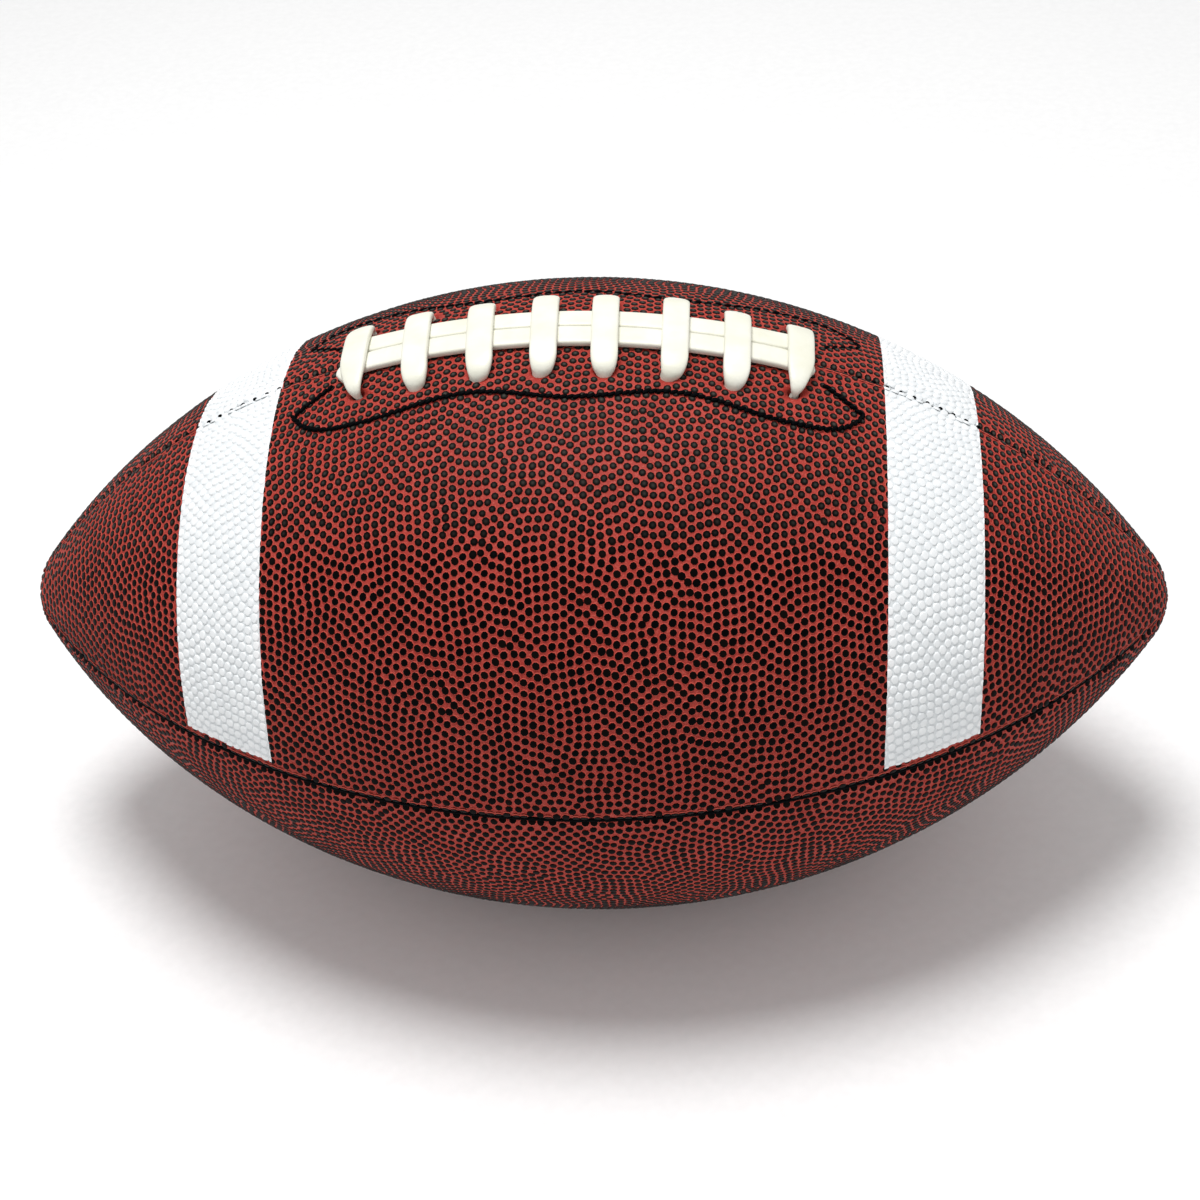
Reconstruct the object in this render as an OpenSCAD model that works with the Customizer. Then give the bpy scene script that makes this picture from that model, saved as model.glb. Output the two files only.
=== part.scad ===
// American football: four pebbled cover panels sewn into a ball over a bladder and laced shut.
// X runs from tip to tip, +Z is up through the laced side, and -Y is the front. The ball is drawn
// about its centre and then raised, so that the origin is on the floor under its middle.
// A place on the ball is given by x along it, by the distance around from the laced seam, which
// grows towards the front, and by the height above the cover's surface.

/* [Ball] */
// Length from tip to tip
ball_length = 274; // [250:1:290]
// Diameter across the middle
ball_diameter = 152; // [140:1:165]
// Radius of the rounded tips
tip_radius = 16; // [13:0.5:19]

/* [Cover panels] */
// Thickness of the pebbled cover
cover_thickness = 2.6; // [2.2:0.1:3.2]
// Radius at which a panel's edge rolls in to the seam
rolled_edge_radius = 1.4; // [1:0.1:2.2]
// Thickness of the seam allowance that is turned inwards
seam_allowance = 2.4; // [1.8:0.1:3]
// Thickness of the woven lining behind each panel
lining_thickness = 1.2; // [0.8:0.1:1.6]
// Diameter of the pinhole where the four points meet at each tip
tip_opening = 1.2; // [0.8:0.1:1.6]

/* [Seam thread] */
// Diameter of the thread that closes the seams
seam_thread_diameter = 0.9; // [0.6:0.1:1.2]
// Depth of the thread below the cover's surface
seam_thread_depth = 2.9; // [2.8:0.05:3.1]
// Half length of the unsewn stretch under the lacing
slit_half_length = 58; // [56:1:62]

/* [Stripes] */
// Distance from the ball's middle to a stripe's inner edge
stripe_start = 68.2; // [66:0.2:74]
// Width of a stripe along the ball
stripe_width = 21.5; // [18:0.5:26]
// Thickness of the white coat
stripe_coat = 0.25; // [0.15:0.05:0.4]
// Distance from the lower seam to a stripe's end
stripe_hem = 2.6; // [2.4:0.1:6]

/* [Lacing] */
// Number of crossings
lace_crossings = 8; // [6:2:8]
// Distance from one crossing to the next
lace_pitch = 13.9; // [12.5:0.1:14.5]
// Distance around from the seam to the lace holes
lace_reach = 13; // [12:0.5:14.5]
// Width of the flat lace
lace_width = 6; // [4.6:0.1:6.2]
// Thickness of the flat lace
lace_thickness = 1.9; // [1.5:0.1:2.1]
// Diameter of a punched lace hole
lace_hole_diameter = 4.2; // [4:0.1:4.8]
// Half the distance between the two punches of an end hole, which holds two strands
end_hole_spread = 1.6; // [1.5:0.1:1.8]
// Length of the tucked lace ends inside the ball
lace_tail = 7; // [5:0.5:8]

/* [Lace facings] */
// Thickness of the reinforcing strip beside the slit
facing_thickness = 1.4; // [1:0.1:2]
// Margin of the strip outside its stitching
facing_margin = 2.4; // [1.6:0.1:3.2]
// Distance around from the seam to the long row of stitching
stitch_reach = 19.5; // [18.5:0.1:20.5]
// Height of the waves in the long row
stitch_wave = 1.4; // [0.2:0.1:1.6]
// Length of one wave
stitch_wave_length = 46; // [44:1:52]
// Distance from the ball's middle to the pointed ends of the stitching
stitch_tip_place = 63; // [62:0.5:65]
// Distance around from the seam to the pointed ends
stitch_tip_reach = 13.2; // [12:0.2:14.5]
// Distance from the ball's middle to where the long row starts to bend to a point
stitch_shoulder = 49; // [47:0.5:51]
// Distance from the ball's middle to the stitching's two ends beside the lace
stitch_end_place = 54.5; // [54:0.5:57]
// Distance around from the seam to those ends
stitch_end_reach = 7.4; // [6.4:0.2:9]
// Diameter of the heavy black thread
facing_thread_diameter = 1.2; // [0.8:0.1:1.4]

/* [Bladder] */
// Wall of the rubber bladder
bladder_wall = 1.2; // [0.8:0.1:1.8]
// Thickness of the guard between the bladder and the lace
guard_thickness = 1.2; // [0.8:0.1:1.6]
// Half length of the guard
guard_half_length = 72; // [70:1:76]
// Half width of the guard
guard_half_width = 24; // [23:0.5:27]

/* [Valve] */
// Angle of the valve around from the laced seam, towards the rear
valve_angle = 45; // [42:1:50]
// Diameter of the needle's bore
needle_diameter = 2; // [1.8:0.1:2.4]
// Diameter of the rubber plug
plug_diameter = 5.4; // [4.8:0.1:6]
// Diameter of the boot's neck in the cover
neck_diameter = 9; // [8:0.1:10]
// Depth of the neck's face below the cover's surface
neck_recess = 0.7; // [0.4:0.1:1.2]
// Diameter of the boot's body inside the bladder
boot_diameter = 12; // [11:0.5:14]
// Depth of the boot's inner end below the cover's surface
boot_depth = 19; // [17:0.5:24]
// Diameter of the flange bonded inside the bladder
flange_diameter = 26; // [22:1:32]
// Thickness of that flange
flange_thickness = 1.4; // [1:0.1:2]

/* [Clearances] */
// Gap between two layers of the ball
layer_gap = 0.25; // [0.2:0.05:0.3]
// Gap between a stripe's coat and the cover
coat_gap = 0.1; // [0.08:0.01:0.15]
// Gap between strands of lace
strand_gap = 0.15; // [0.1:0.05:0.2]
// Gap around a thread in its channel
thread_gap = 0.1; // [0.05:0.05:0.15]
// Gap around the plug in its boot
plug_gap = 0.05; // [0.02:0.01:0.1]

/* [Hidden] */
$fn = 144;
// How far a cut runs past the solid
overrun = 3;
// Sides of the smaller round parts
small_sides = 48;

// The ball's lengthwise outline: one long belly arc that meets a small arc at each tip
ball_radius = ball_diameter / 2;
half_length = ball_length / 2;
tip_centre = half_length - tip_radius;
belly_radius = (ball_radius ^ 2 + tip_centre ^ 2 - tip_radius ^ 2) / (2 * (ball_radius - tip_radius));
belly_drop = belly_radius - ball_radius;
join_angle = atan2(tip_centre, belly_drop);

// Depths of the layers below the cover's surface, from the outside in
lining_outside = cover_thickness + layer_gap;
lining_inside = lining_outside + lining_thickness;
facing_outside = lining_inside + layer_gap;
facing_inside = facing_outside + facing_thickness;
inner_bend_share = 0.8;
inner_bend = inner_bend_share * lace_thickness;
guard_outside = facing_inside + inner_bend + lace_thickness / 2 + strand_gap;
guard_inside = guard_outside + guard_thickness;
pocket_floor = guard_inside + layer_gap;
bladder_outside = lining_inside + layer_gap;
bladder_inside = bladder_outside + bladder_wall;
flange_outside = bladder_inside + layer_gap;
flange_inside = flange_outside + flange_thickness;

// Places of the lace holes along the ball
last_hole = lace_crossings - 1;
function hole_place(i) = (i - last_hole / 2) * lace_pitch;

// A place on the ball, with its outward, lengthwise and around directions
function lean(x) = asin(x / belly_radius);
function surface_radius(x) = belly_radius * cos(lean(x)) - belly_drop;
function turn(x, around) = around / surface_radius(x) * 180 / PI;
function outward(x, around) =
    [sin(lean(x)), -cos(lean(x)) * sin(turn(x, around)), cos(lean(x)) * cos(turn(x, around))];
function lengthwise(x, around) =
    [cos(lean(x)), sin(lean(x)) * sin(turn(x, around)), -sin(lean(x)) * cos(turn(x, around))];
function sideways(x, around) = [0, -cos(turn(x, around)), -sin(turn(x, around))];
function on_ball(x, around, height) =
    [x, -surface_radius(x) * sin(turn(x, around)), surface_radius(x) * cos(turn(x, around))]
    + height * outward(x, around);
function unit(v) = v / norm(v);
function mix(a, b, share) = a + (b - a) * share;

// Half of the ball's lengthwise section, sunk by a depth below the cover's surface
module ball_outline(depth) {
    join = tip_centre + (tip_radius - depth) * sin(join_angle);
    intersection() {
        translate([-belly_drop, 0]) circle(r = belly_radius - depth);
        translate([0, -join]) square([ball_radius, 2 * join]);
    }
    for (end = [-1, 1])
        intersection() {
            translate([0, end * tip_centre]) circle(r = tip_radius - depth);
            translate([0, -half_length]) square([ball_radius, ball_length]);
        }
}

// The whole ball, sunk by a depth
module ball(depth) rotate([0, -90, 0]) rotate_extrude() ball_outline(depth);

// The belly only, sunk by a depth and cut square at both ends
module belly(depth, reach) {
    rotate([0, 90, 0])
        rotate_extrude()
            intersection() {
                translate([-belly_drop, 0]) circle(r = belly_radius - depth);
                translate([0, -reach]) square([ball_radius + overrun, 2 * reach]);
            }
}

// The rear upper quarter of space, kept off both seams by a margin
module rear_upper_quarter(margin) {
    translate([-ball_length, margin, margin]) cube([2 * ball_length, ball_length, ball_length]);
}

// Puts a part drawn in the rear upper quarter into any quarter
module in_quarter(front, lower) {
    mirror([0, front ? 1 : 0, 0]) mirror([0, 0, lower ? 1 : 0]) children();
}

// Sweeps a section along the belly arc of the rear seam, to an angle each way from the middle
module belly_arc(reach_angle) {
    translate([0, -belly_drop, 0])
        rotate([0, 0, 90 - reach_angle])
            rotate_extrude(angle = 2 * reach_angle) translate([belly_radius, 0]) children();
}

// Turns what was drawn on the rear seam to the laced seam
module on_laced_seam() mirror([0, 1, 0]) rotate([90, 0, 0]) children();

// Section of the cut that rolls both edges of a seam
module rolled_edges(radius) {
    difference() {
        translate([-radius, -overrun]) square([radius + overrun, radius + overrun]);
        translate([-radius, radius]) circle(r = radius, $fn = small_sides);
    }
}

// What comes off a panel at one of its seams: the rolled edge, and half of the thread's channel,
// which ends short of the tips. The roll over a tip is a little tighter than along the belly, and
// the belly's roll runs on past the join and out of the cover, so that the two cuts cross
past_tip_angle = 5;
tip_turn = 90 - join_angle + past_tip_angle;
tip_roll_share = 0.95;
thread_end_share = 0.95;
thread_end_angle = thread_end_share * join_angle;
channel_end_angle = thread_end_angle + thread_gap / belly_radius * 180 / PI;
module seam_edge() {
    belly_arc(join_angle + past_tip_angle) rolled_edges(rolled_edge_radius);
    belly_arc(channel_end_angle)
        translate([-seam_thread_depth, 0])
            circle(d = seam_thread_diameter + 2 * thread_gap, $fn = small_sides);
    for (end = [0, 1])
        mirror([end, 0, 0])
            translate([tip_centre, 0, 0])
                rotate([0, 0, -past_tip_angle])
                    rotate_extrude(angle = tip_turn)
                        translate([tip_radius, 0]) rolled_edges(tip_roll_share * rolled_edge_radius);
}

// The pinhole that is left at each tip, where the four points are sewn together
module tip_pinholes() {
    rotate([0, 90, 0])
        cylinder(h = ball_length + 2 * overrun, d = tip_opening, center = true, $fn = small_sides);
}

// Moves to a place on the rear half of the belly, with Z pointing out of the ball
module at_place(x, around) {
    rotate([-turn(x, around), 0, 0])
        translate([0, 0, -belly_drop])
            rotate([0, lean(x), 0])
                translate([0, 0, belly_radius]) children();
}

// The punched lace holes of the rear half; each end hole is two overlapping punches
module lace_holes() {
    sites = [
        for (i = [0 : last_hole])
            for (spread = (i == 0 || i == last_hole) ? [-end_hole_spread, end_hole_spread] : [0])
                hole_place(i) + spread
    ];
    for (x = sites)
        at_place(x, lace_reach)
            translate([0, 0, -facing_inside - overrun])
                cylinder(d = lace_hole_diameter, h = facing_inside + 2 * overrun, $fn = small_sides);
}

// Moves to the valve's axis, with Z pointing out and its zero at the ball's centre
module on_valve_axis() rotate([-valve_angle, 0, 0]) children();

// The hole for the valve's neck
module neck_hole() {
    on_valve_axis()
        translate([0, 0, ball_radius / 2])
            cylinder(d = neck_diameter + 2 * layer_gap, h = ball_radius, $fn = small_sides);
}

// One panel: a quarter of the ball with rolled edges and its seam allowance turned in
module cover_panel(upper, valve) {
    color("#b8432f")
        difference() {
            intersection() {
                ball(0);
                rear_upper_quarter(0);
            }
            ball(lining_inside);
            intersection() {
                ball(cover_thickness);
                rear_upper_quarter(seam_allowance);
            }
            seam_edge();
            on_laced_seam() seam_edge();
            tip_pinholes();
            if (upper) lace_holes();
            if (valve) neck_hole();
        }
}

// The woven lining behind one panel, between its seam allowances
module lining(upper, valve) {
    color("#d9d2c0")
        difference() {
            intersection() {
                ball(lining_outside);
                rear_upper_quarter(seam_allowance + layer_gap);
            }
            ball(lining_inside);
            if (upper) lace_holes();
            if (valve) neck_hole();
        }
}

// One white stripe on an upper panel, from the laced seam almost to the lower seam
module stripe(left) {
    color("#f4f4ee")
        mirror([left ? 1 : 0, 0, 0])
            difference() {
                intersection() {
                    belly(-coat_gap - stripe_coat, stripe_start + stripe_width);
                    translate([stripe_start, rolled_edge_radius, stripe_hem])
                        cube([stripe_width, ball_radius, ball_radius]);
                }
                belly(-coat_gap, stripe_start + stripe_width + overrun);
            }
}

// The room that the bladder leaves for the facings, the lace and the guard
module lace_pocket(grown) {
    difference() {
        translate([-guard_half_length - layer_gap - grown, -guard_half_width - layer_gap - grown, 0])
            cube([
                2 * (guard_half_length + layer_gap + grown),
                2 * (guard_half_width + layer_gap + grown),
                ball_radius
            ]);
        belly(pocket_floor + grown, guard_half_length + grown + overrun);
    }
}

// The rubber bladder, dented under the lacing, with a hole for the valve's neck
module bladder() {
    color("#2b2b2b")
        difference() {
            ball(bladder_outside);
            lace_pocket(0);
            difference() {
                ball(bladder_inside);
                lace_pocket(bladder_wall);
            }
            neck_hole();
        }
}

// The flexible guard that keeps the lace off the bladder
module bladder_guard() {
    straight = guard_half_length - guard_half_width;
    color("#8d8f92")
        difference() {
            intersection() {
                belly(guard_outside, guard_half_length + overrun);
                linear_extrude(ball_radius)
                    union() {
                        square([2 * straight, 2 * guard_half_width], center = true);
                        for (end = [-1, 1]) translate([end * straight, 0]) circle(r = guard_half_width);
                    }
            }
            belly(guard_inside, guard_half_length + 2 * overrun);
        }
}

// The moulded boot: a neck through the cover, a flange bonded to the bladder and a body for the plug
module valve_boot() {
    body_height = boot_depth - flange_outside - flange_thickness / 2;
    color("#1f1f1f")
        difference() {
            union() {
                on_valve_axis()
                    translate([0, 0, ball_radius - flange_inside])
                        cylinder(d = neck_diameter, h = flange_inside - neck_recess, $fn = small_sides);
                difference() {
                    intersection() {
                        belly(flange_outside, flange_diameter);
                        on_valve_axis() cylinder(d = flange_diameter, h = ball_radius, $fn = small_sides);
                    }
                    belly(flange_inside, flange_diameter + overrun);
                }
                on_valve_axis()
                    translate([0, 0, ball_radius - boot_depth])
                        cylinder(d = boot_diameter, h = body_height, $fn = small_sides);
            }
            on_valve_axis()
                cylinder(d = plug_diameter + 2 * plug_gap, h = ball_diameter, $fn = small_sides);
        }
}

// The rubber plug with the needle's bore right through it
module valve_plug() {
    color("#3a3a3a")
        on_valve_axis()
            translate([0, 0, ball_radius - boot_depth])
                difference() {
                    cylinder(d = plug_diameter, h = boot_depth - neck_recess, $fn = small_sides);
                    translate([0, 0, -overrun])
                        cylinder(d = needle_diameter, h = boot_depth + 2 * overrun, $fn = small_sides);
                }
}

// The stitching's route round a facing, as [x, around] points: out from the lace to one point,
// back along the waved long row and in again at the other point
function long_row(x) = stitch_reach + stitch_wave * cos(360 * x / stitch_wave_length);
function curve_point(a, b, c, share) = mix(mix(a, b, share), mix(b, c, share), share);
row_steps = 36;
shoulder_steps = 6;
end_point = [stitch_end_place, stitch_end_reach];
tip_point = [stitch_tip_place, stitch_tip_reach];
shoulder_point = [stitch_shoulder, long_row(stitch_shoulder)];
shoulder_share = 0.75;
bend_point = [mix(stitch_shoulder, stitch_tip_place, shoulder_share), long_row(stitch_shoulder)];
stitch_half = concat(
    [end_point, (end_point + tip_point) / 2],
    [
        for (i = [0 : shoulder_steps - 1])
            curve_point(tip_point, bend_point, shoulder_point, i / shoulder_steps)
    ]
);
stitch_row = [
    for (i = [0 : row_steps])
        let (x = mix(stitch_shoulder, -stitch_shoulder, i / row_steps)) [x, long_row(x)]
];
function flipped(points) = [for (i = [len(points) - 1 : -1 : 0]) [-points[i][0], points[i][1]]];
stitch_route = concat(stitch_half, stitch_row, flipped(stitch_half));

// The reinforcing strip behind one upper panel, from the slit to just past its stitching
module lace_facing() {
    outline = concat(
        [[stitch_tip_place + facing_margin, layer_gap / 2]],
        [[stitch_tip_place + facing_margin, stitch_tip_reach + facing_margin]],
        [for (p = stitch_row) [p[0], p[1] + facing_margin]],
        [[-stitch_tip_place - facing_margin, stitch_tip_reach + facing_margin]],
        [[-stitch_tip_place - facing_margin, layer_gap / 2]]
    );
    color("#6e4a35")
        difference() {
            intersection() {
                belly(facing_outside, guard_half_length);
                linear_extrude(ball_radius) polygon(outline);
            }
            belly(facing_inside, guard_half_length + overrun);
            lace_holes();
        }
}

// A swept strand: each station is [centre, width direction, width, thickness]
function station_tangent(s, i) =
    unit(s[min(i + 1, len(s) - 1)][0] - s[max(i - 1, 0)][0]);
function section_ring(station, tangent, sides, squareness) =
    let (
        across = unit(station[1] - (station[1] * tangent) * tangent),
        through = cross(tangent, across)
    )
    [
        for (k = [0 : sides - 1])
            let (c = cos(360 * (k + 0.5) / sides), q = sin(360 * (k + 0.5) / sides))
            station[0]
                + across * (station[2] / 2 * sign(c) * abs(c) ^ squareness)
                + through * (station[3] / 2 * sign(q) * abs(q) ^ squareness)
    ];
module strand(stations, sides, squareness) {
    count = len(stations);
    points = [
        for (i = [0 : count - 1])
            each section_ring(stations[i], station_tangent(stations, i), sides, squareness)
    ];
    walls = [
        for (i = [0 : count - 2])
            for (k = [0 : sides - 1])
                let (a = i * sides + k, b = i * sides + (k + 1) % sides, c = a + sides, d = b + sides)
                each [[a, c, b], [b, c, d]]
    ];
    caps = [
        for (k = [1 : sides - 2])
            each [[0, k, k + 1], [(count - 1) * sides, (count - 1) * sides + k + 1, (count - 1) * sides + k]]
    ];
    polyhedron(points = points, faces = concat(walls, caps), convexity = 10);
}

// The heavy thread of a facing's stitching lies on the cover
thread_sides = 6;
module facing_stitching() {
    radius = facing_thread_diameter / 2;
    color("#16202a")
        strand(
            [
                for (p = stitch_route)
                    [on_ball(p[0], p[1], radius + thread_gap), outward(p[0], p[1]),
                     facing_thread_diameter, facing_thread_diameter]
            ],
            thread_sides, 1
        );
}

// A seam thread lies between the seam allowances. A place on it is given by the angle of the
// cover's outward direction, from the middle towards a tip
slit_angle = lean(slit_half_length);
seam_steps = 44;
slit_steps = 14;
module seam_thread(from_angle, steps) {
    color("#16202a")
        strand(
            [
                for (k = [0 : steps])
                    let (angle = mix(from_angle, thread_end_angle, k / steps))
                    [(belly_radius - seam_thread_depth) * [sin(angle), cos(angle), 0] - [0, belly_drop, 0],
                     [0, 0, 1], seam_thread_diameter, seam_thread_diameter]
            ],
            thread_sides, 1
        );
}
module whole_seam_thread() seam_thread(-thread_end_angle, seam_steps);
module lace_seam_thread() on_laced_seam() seam_thread(slit_angle, slit_steps);

// The lace is one unbroken strand. Its first end is tucked in at the rear right hole. It comes up
// there, runs left beside the seam, goes down at the rear left hole and crosses inside to the front.
// It comes up, runs right, goes down and crosses inside again. It then comes up at the rear right
// hole and zigzags back to the left: over the two runs, down, along inside to the next hole and up.
lane = lace_width / 2 + strand_gap;
run_height = strand_gap + lace_thickness / 2;
run_top = strand_gap + lace_thickness;
arch_height = run_top + 2 * strand_gap + lace_thickness / 2;
end_arch_height = arch_height + strand_gap;

// The lace's section as [width, thickness]: flat outside, squeezed in a hole's mouth, bent under
// the facing, and small where two strands share an end hole
squeeze_share = 0.85;
swell_share = 1.15;
hole_strand = lace_hole_diameter - 4 * strand_gap;
end_strand = 2 * (end_hole_spread - strand_gap);
flat_section = [lace_width, lace_thickness];
mouth_section = [hole_strand, squeeze_share * hole_strand];
bent_section = [hole_strand, swell_share * lace_thickness];
end_section = [end_strand, swell_share * lace_thickness];
end_sections = [end_section, end_section];

// How square the section, the arches and the end arches are: 1 is round and 0 is square
lace_squareness = 0.6;
arch_squareness = 0.6;
end_arch_squareness = 0.4;

// Shares of an arch's rise at which the lace has its full size, and an end crossing starts to widen
full_size_share = 0.25;
end_widening_share = 0.75;

// Steps along each stretch of the lace
arch_steps = 14;
wall_steps = 4;
bend_steps = 4;
stretch_steps = 4;
fan_steps = 10;
run_steps = 14;
lace_sides = 10;

// One station from its place, its section and the heading of its width, from lengthwise (0) to
// sideways (90)
function lace_station(x, around, height, heading, section) =
    [on_ball(x, around, height),
     cos(heading) * lengthwise(x, around) + sin(heading) * sideways(x, around), section[0], section[1]];
function bulge(angle, squareness) = abs(sin(angle)) ^ squareness;
function spread(angle) = sign(cos(angle)) * abs(cos(angle)) ^ arch_squareness;
function past(value, start_share) = max(0, (value - start_share) / (1 - start_share));

// Over the top from one side to the other, narrowed to fill the holes. An end crossing leans from
// the inner punches out over the strands that it shares its holes with
function crossing(i, side) =
    let (
        shared = i == 0 || i == last_hole,
        inward = i == 0 ? end_hole_spread : i == last_hole ? -end_hole_spread : 0
    )
    [
        for (k = [0 : arch_steps])
            let (
                angle = 180 * k / arch_steps,
                full = min(1, sin(angle) / full_size_share),
                widened = past(sin(angle), end_widening_share),
                rise = shared
                    ? end_arch_height * bulge(angle, end_arch_squareness)
                    : arch_height * bulge(angle, arch_squareness),
                section = shared
                    ? [mix(end_strand, lace_width, widened), mix(end_section[1], lace_thickness, full)]
                    : mix(mouth_section, flat_section, full)
            )
            lace_station(
                hole_place(i) + inward * (1 - widened), side * lace_reach * spread(angle), rise, 0, section
            )
    ];

// Down or up through the cover, lining and facing, while the section turns and changes
function through_wall(place, down, headings, sections) =
    [
        for (k = [1 : wall_steps - 1])
            let (share = k / wall_steps)
            lace_station(
                place[0], place[1], -facing_inside * (down ? share : 1 - share),
                mix(headings[0], headings[1], share), mix(sections[0], sections[1], share)
            )
    ];

// Inside the ball the lace turns in a round bend, as [distance along, depth], and lies flat between
function bend(share) = inner_bend * [1 - cos(90 * share), sin(90 * share)];
function flat_stretch(length) =
    [
        for (k = [1 : stretch_steps - 1])
            [mix(inner_bend, length - inner_bend, k / stretch_steps), inner_bend]
    ];
function inside_path(length) =
    concat(
        [for (k = [0 : bend_steps]) bend(k / bend_steps)],
        flat_stretch(length),
        [for (k = [bend_steps : -1 : 0]) let (point = bend(k / bend_steps)) [length - point[0], point[1]]]
    );

// Inside the ball from one hole to another, widest half way
function inside_loop(from, to, heading, sections) =
    let (length = norm(to - from))
    [
        for (point = inside_path(length))
            let (
                near = min(point[0], length - point[0]),
                widened = max(0, (near - inner_bend) / (length / 2 - inner_bend)),
                bent = point[0] < length / 2 ? sections[0] : sections[1],
                place = mix(from, to, point[0] / length)
            )
            lace_station(
                place[0], place[1], -facing_inside - point[1], heading,
                [mix(bent[0], lace_width, widened), mix(bent[1], lace_thickness, point[1] / inner_bend)]
            )
    ];

// A tucked end inside the ball; the first one runs from its tail to its hole, the last one back
function tucked_end(place, direction, first) =
    let (path = concat([for (k = [0 : bend_steps]) bend(k / bend_steps)], [[lace_tail, inner_bend]]))
    [
        for (k = [0 : bend_steps + 1])
            let (point = path[first ? bend_steps + 1 - k : k])
            lace_station(
                place[0] + direction * point[0], place[1], -facing_inside - point[1], 90,
                [end_strand, mix(end_section[1], lace_thickness, point[1] / inner_bend)]
            )
    ];

// From a run beside the seam to its end hole: a sweep flat on the cover, then a round bend down
fan_reach_share = 0.6;
fan_wide_share = 0.7;
fan_narrow_share = 0.3;
function sweep(end, side, way) =
    let (
        start = [end * (end_hole - fan_reach), side * lane],
        corner = [end * outer_hole, side * lane],
        brink = [end * outer_hole, side * (lace_reach - run_height)]
    )
    [
        for (k = [0 : fan_steps])
            let (
                share = sin(90 * k / fan_steps),
                place = curve_point(start, corner, brink, share),
                heading = way * mix(corner - start, brink - corner, share),
                left_share = 1 - abs(place[1]) / lace_reach,
                narrowing_share = (fan_wide_share - left_share) / (fan_wide_share - fan_narrow_share),
                narrowed = max(0, min(1, narrowing_share))
            )
            lace_station(
                place[0], place[1], run_height, atan2(-heading[0], heading[1]),
                [mix(lace_width, end_strand, narrowed), lace_thickness]
            )
    ];
function dip(end, side, way) =
    [
        for (k = [1 : bend_steps])
            let (angle = 90 * k / bend_steps, around = side * (lace_reach - run_height * (1 - sin(angle))))
            lace_station(
                end * outer_hole, around, run_height * cos(angle), side * way > 0 ? 0 : 180,
                mix([end_strand, lace_thickness], end_section, k / bend_steps)
            )
    ];
function backwards(list) = [for (i = [len(list) - 1 : -1 : 0]) list[i]];
function fan(end, side, entering) =
    let (way = entering ? 1 : -1, stations = concat(sweep(end, side, way), dip(end, side, way)))
    entering ? stations : backwards(stations);

// The straight run between two fans
function run(side, direction) =
    [
        for (k = [1 : run_steps - 1])
            lace_station(
                direction * mix(-1, 1, k / run_steps) * (end_hole - fan_reach), side * lane, run_height,
                -90 * direction, flat_section
            )
    ];

// The zigzag: each crossing, then down, along inside and up to the next
function zigzag(i) =
    let (
        side = (last_hole - i) % 2 == 0 ? -1 : 1,
        place = [inner_place(i), -side * lace_reach],
        next = [inner_place(i - 1), -side * lace_reach],
        here = i == last_hole || i == 0 ? end_sections : [mouth_section, bent_section],
        there = i == 1 ? end_sections : [bent_section, mouth_section]
    )
    concat(
        crossing(i, side),
        through_wall(place, true, [0, 90], here),
        i == 0 ? tucked_end(place, 1, false) : concat(
            inside_loop(place, next, 90, [here[1], there[0]]),
            through_wall(next, false, [90, 0], there)
        )
    );

end_hole = hole_place(last_hole);
outer_hole = end_hole + end_hole_spread;
inner_hole = end_hole - end_hole_spread;
fan_reach = fan_reach_share * lace_pitch;
function inner_place(i) = i == 0 ? -inner_hole : i == last_hole ? inner_hole : hole_place(i);
rear_right = [outer_hole, -lace_reach];
rear_left = [-outer_hole, -lace_reach];
front_left = [-outer_hole, lace_reach];
front_right = [outer_hole, lace_reach];
rear_right_inner = [inner_hole, -lace_reach];
lace_stations = concat(
    tucked_end(rear_right, 1, true),
    through_wall(rear_right, false, [90, 0], end_sections),
    fan(1, -1, false),
    run(-1, -1),
    fan(-1, -1, true),
    through_wall(rear_left, true, [180, 180], end_sections),
    inside_loop(rear_left, front_left, 180, end_sections),
    through_wall(front_left, false, [180, 180], end_sections),
    fan(-1, 1, false),
    run(1, 1),
    fan(1, 1, true),
    through_wall(front_right, true, [0, 0], end_sections),
    inside_loop(front_right, rear_right_inner, 0, end_sections),
    through_wall(rear_right_inner, false, [0, 0], end_sections),
    [for (i = [last_hole : -1 : 0]) each zigzag(i)]
);
module lace() color("#f6f3e6") strand(lace_stations, lace_sides, lace_squareness);

// Raises what was drawn about the ball's centre, so that the ball rests on the floor
module resting() translate([0, 0, ball_radius]) children();

resting() in_quarter(true, false) cover_panel(true, false);  // front_upper_cover_panel
resting() in_quarter(false, false) cover_panel(true, true);  // rear_upper_cover_panel
resting() in_quarter(true, true) cover_panel(false, false);  // front_lower_cover_panel
resting() in_quarter(false, true) cover_panel(false, false);  // rear_lower_cover_panel
resting() in_quarter(true, false) lining(true, false);  // front_upper_lining
resting() in_quarter(false, false) lining(true, true);  // rear_upper_lining
resting() in_quarter(true, true) lining(false, false);  // front_lower_lining
resting() in_quarter(false, true) lining(false, false);  // rear_lower_lining
resting() in_quarter(true, false) stripe(true);  // front_left_stripe
resting() in_quarter(true, false) stripe(false);  // front_right_stripe
resting() stripe(true);  // rear_left_stripe
resting() stripe(false);  // rear_right_stripe
resting() bladder();
resting() bladder_guard();
resting() valve_boot();
resting() valve_plug();
resting() in_quarter(true, false) lace_facing();  // front_lace_facing
resting() lace_facing();  // rear_lace_facing
resting() lace();
resting() facing_stitching();  // front_facing_stitching
resting() in_quarter(true, false) facing_stitching();  // rear_facing_stitching
resting() in_quarter(true, false) whole_seam_thread();  // front_seam_thread
resting() whole_seam_thread();  // rear_seam_thread
resting() mirror([0, 0, 1]) on_laced_seam() whole_seam_thread();  // bottom_seam_thread
resting() mirror([1, 0, 0]) lace_seam_thread();  // left_lace_seam_thread
resting() lace_seam_thread();  // right_lace_seam_thread
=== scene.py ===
import math
import random

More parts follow.
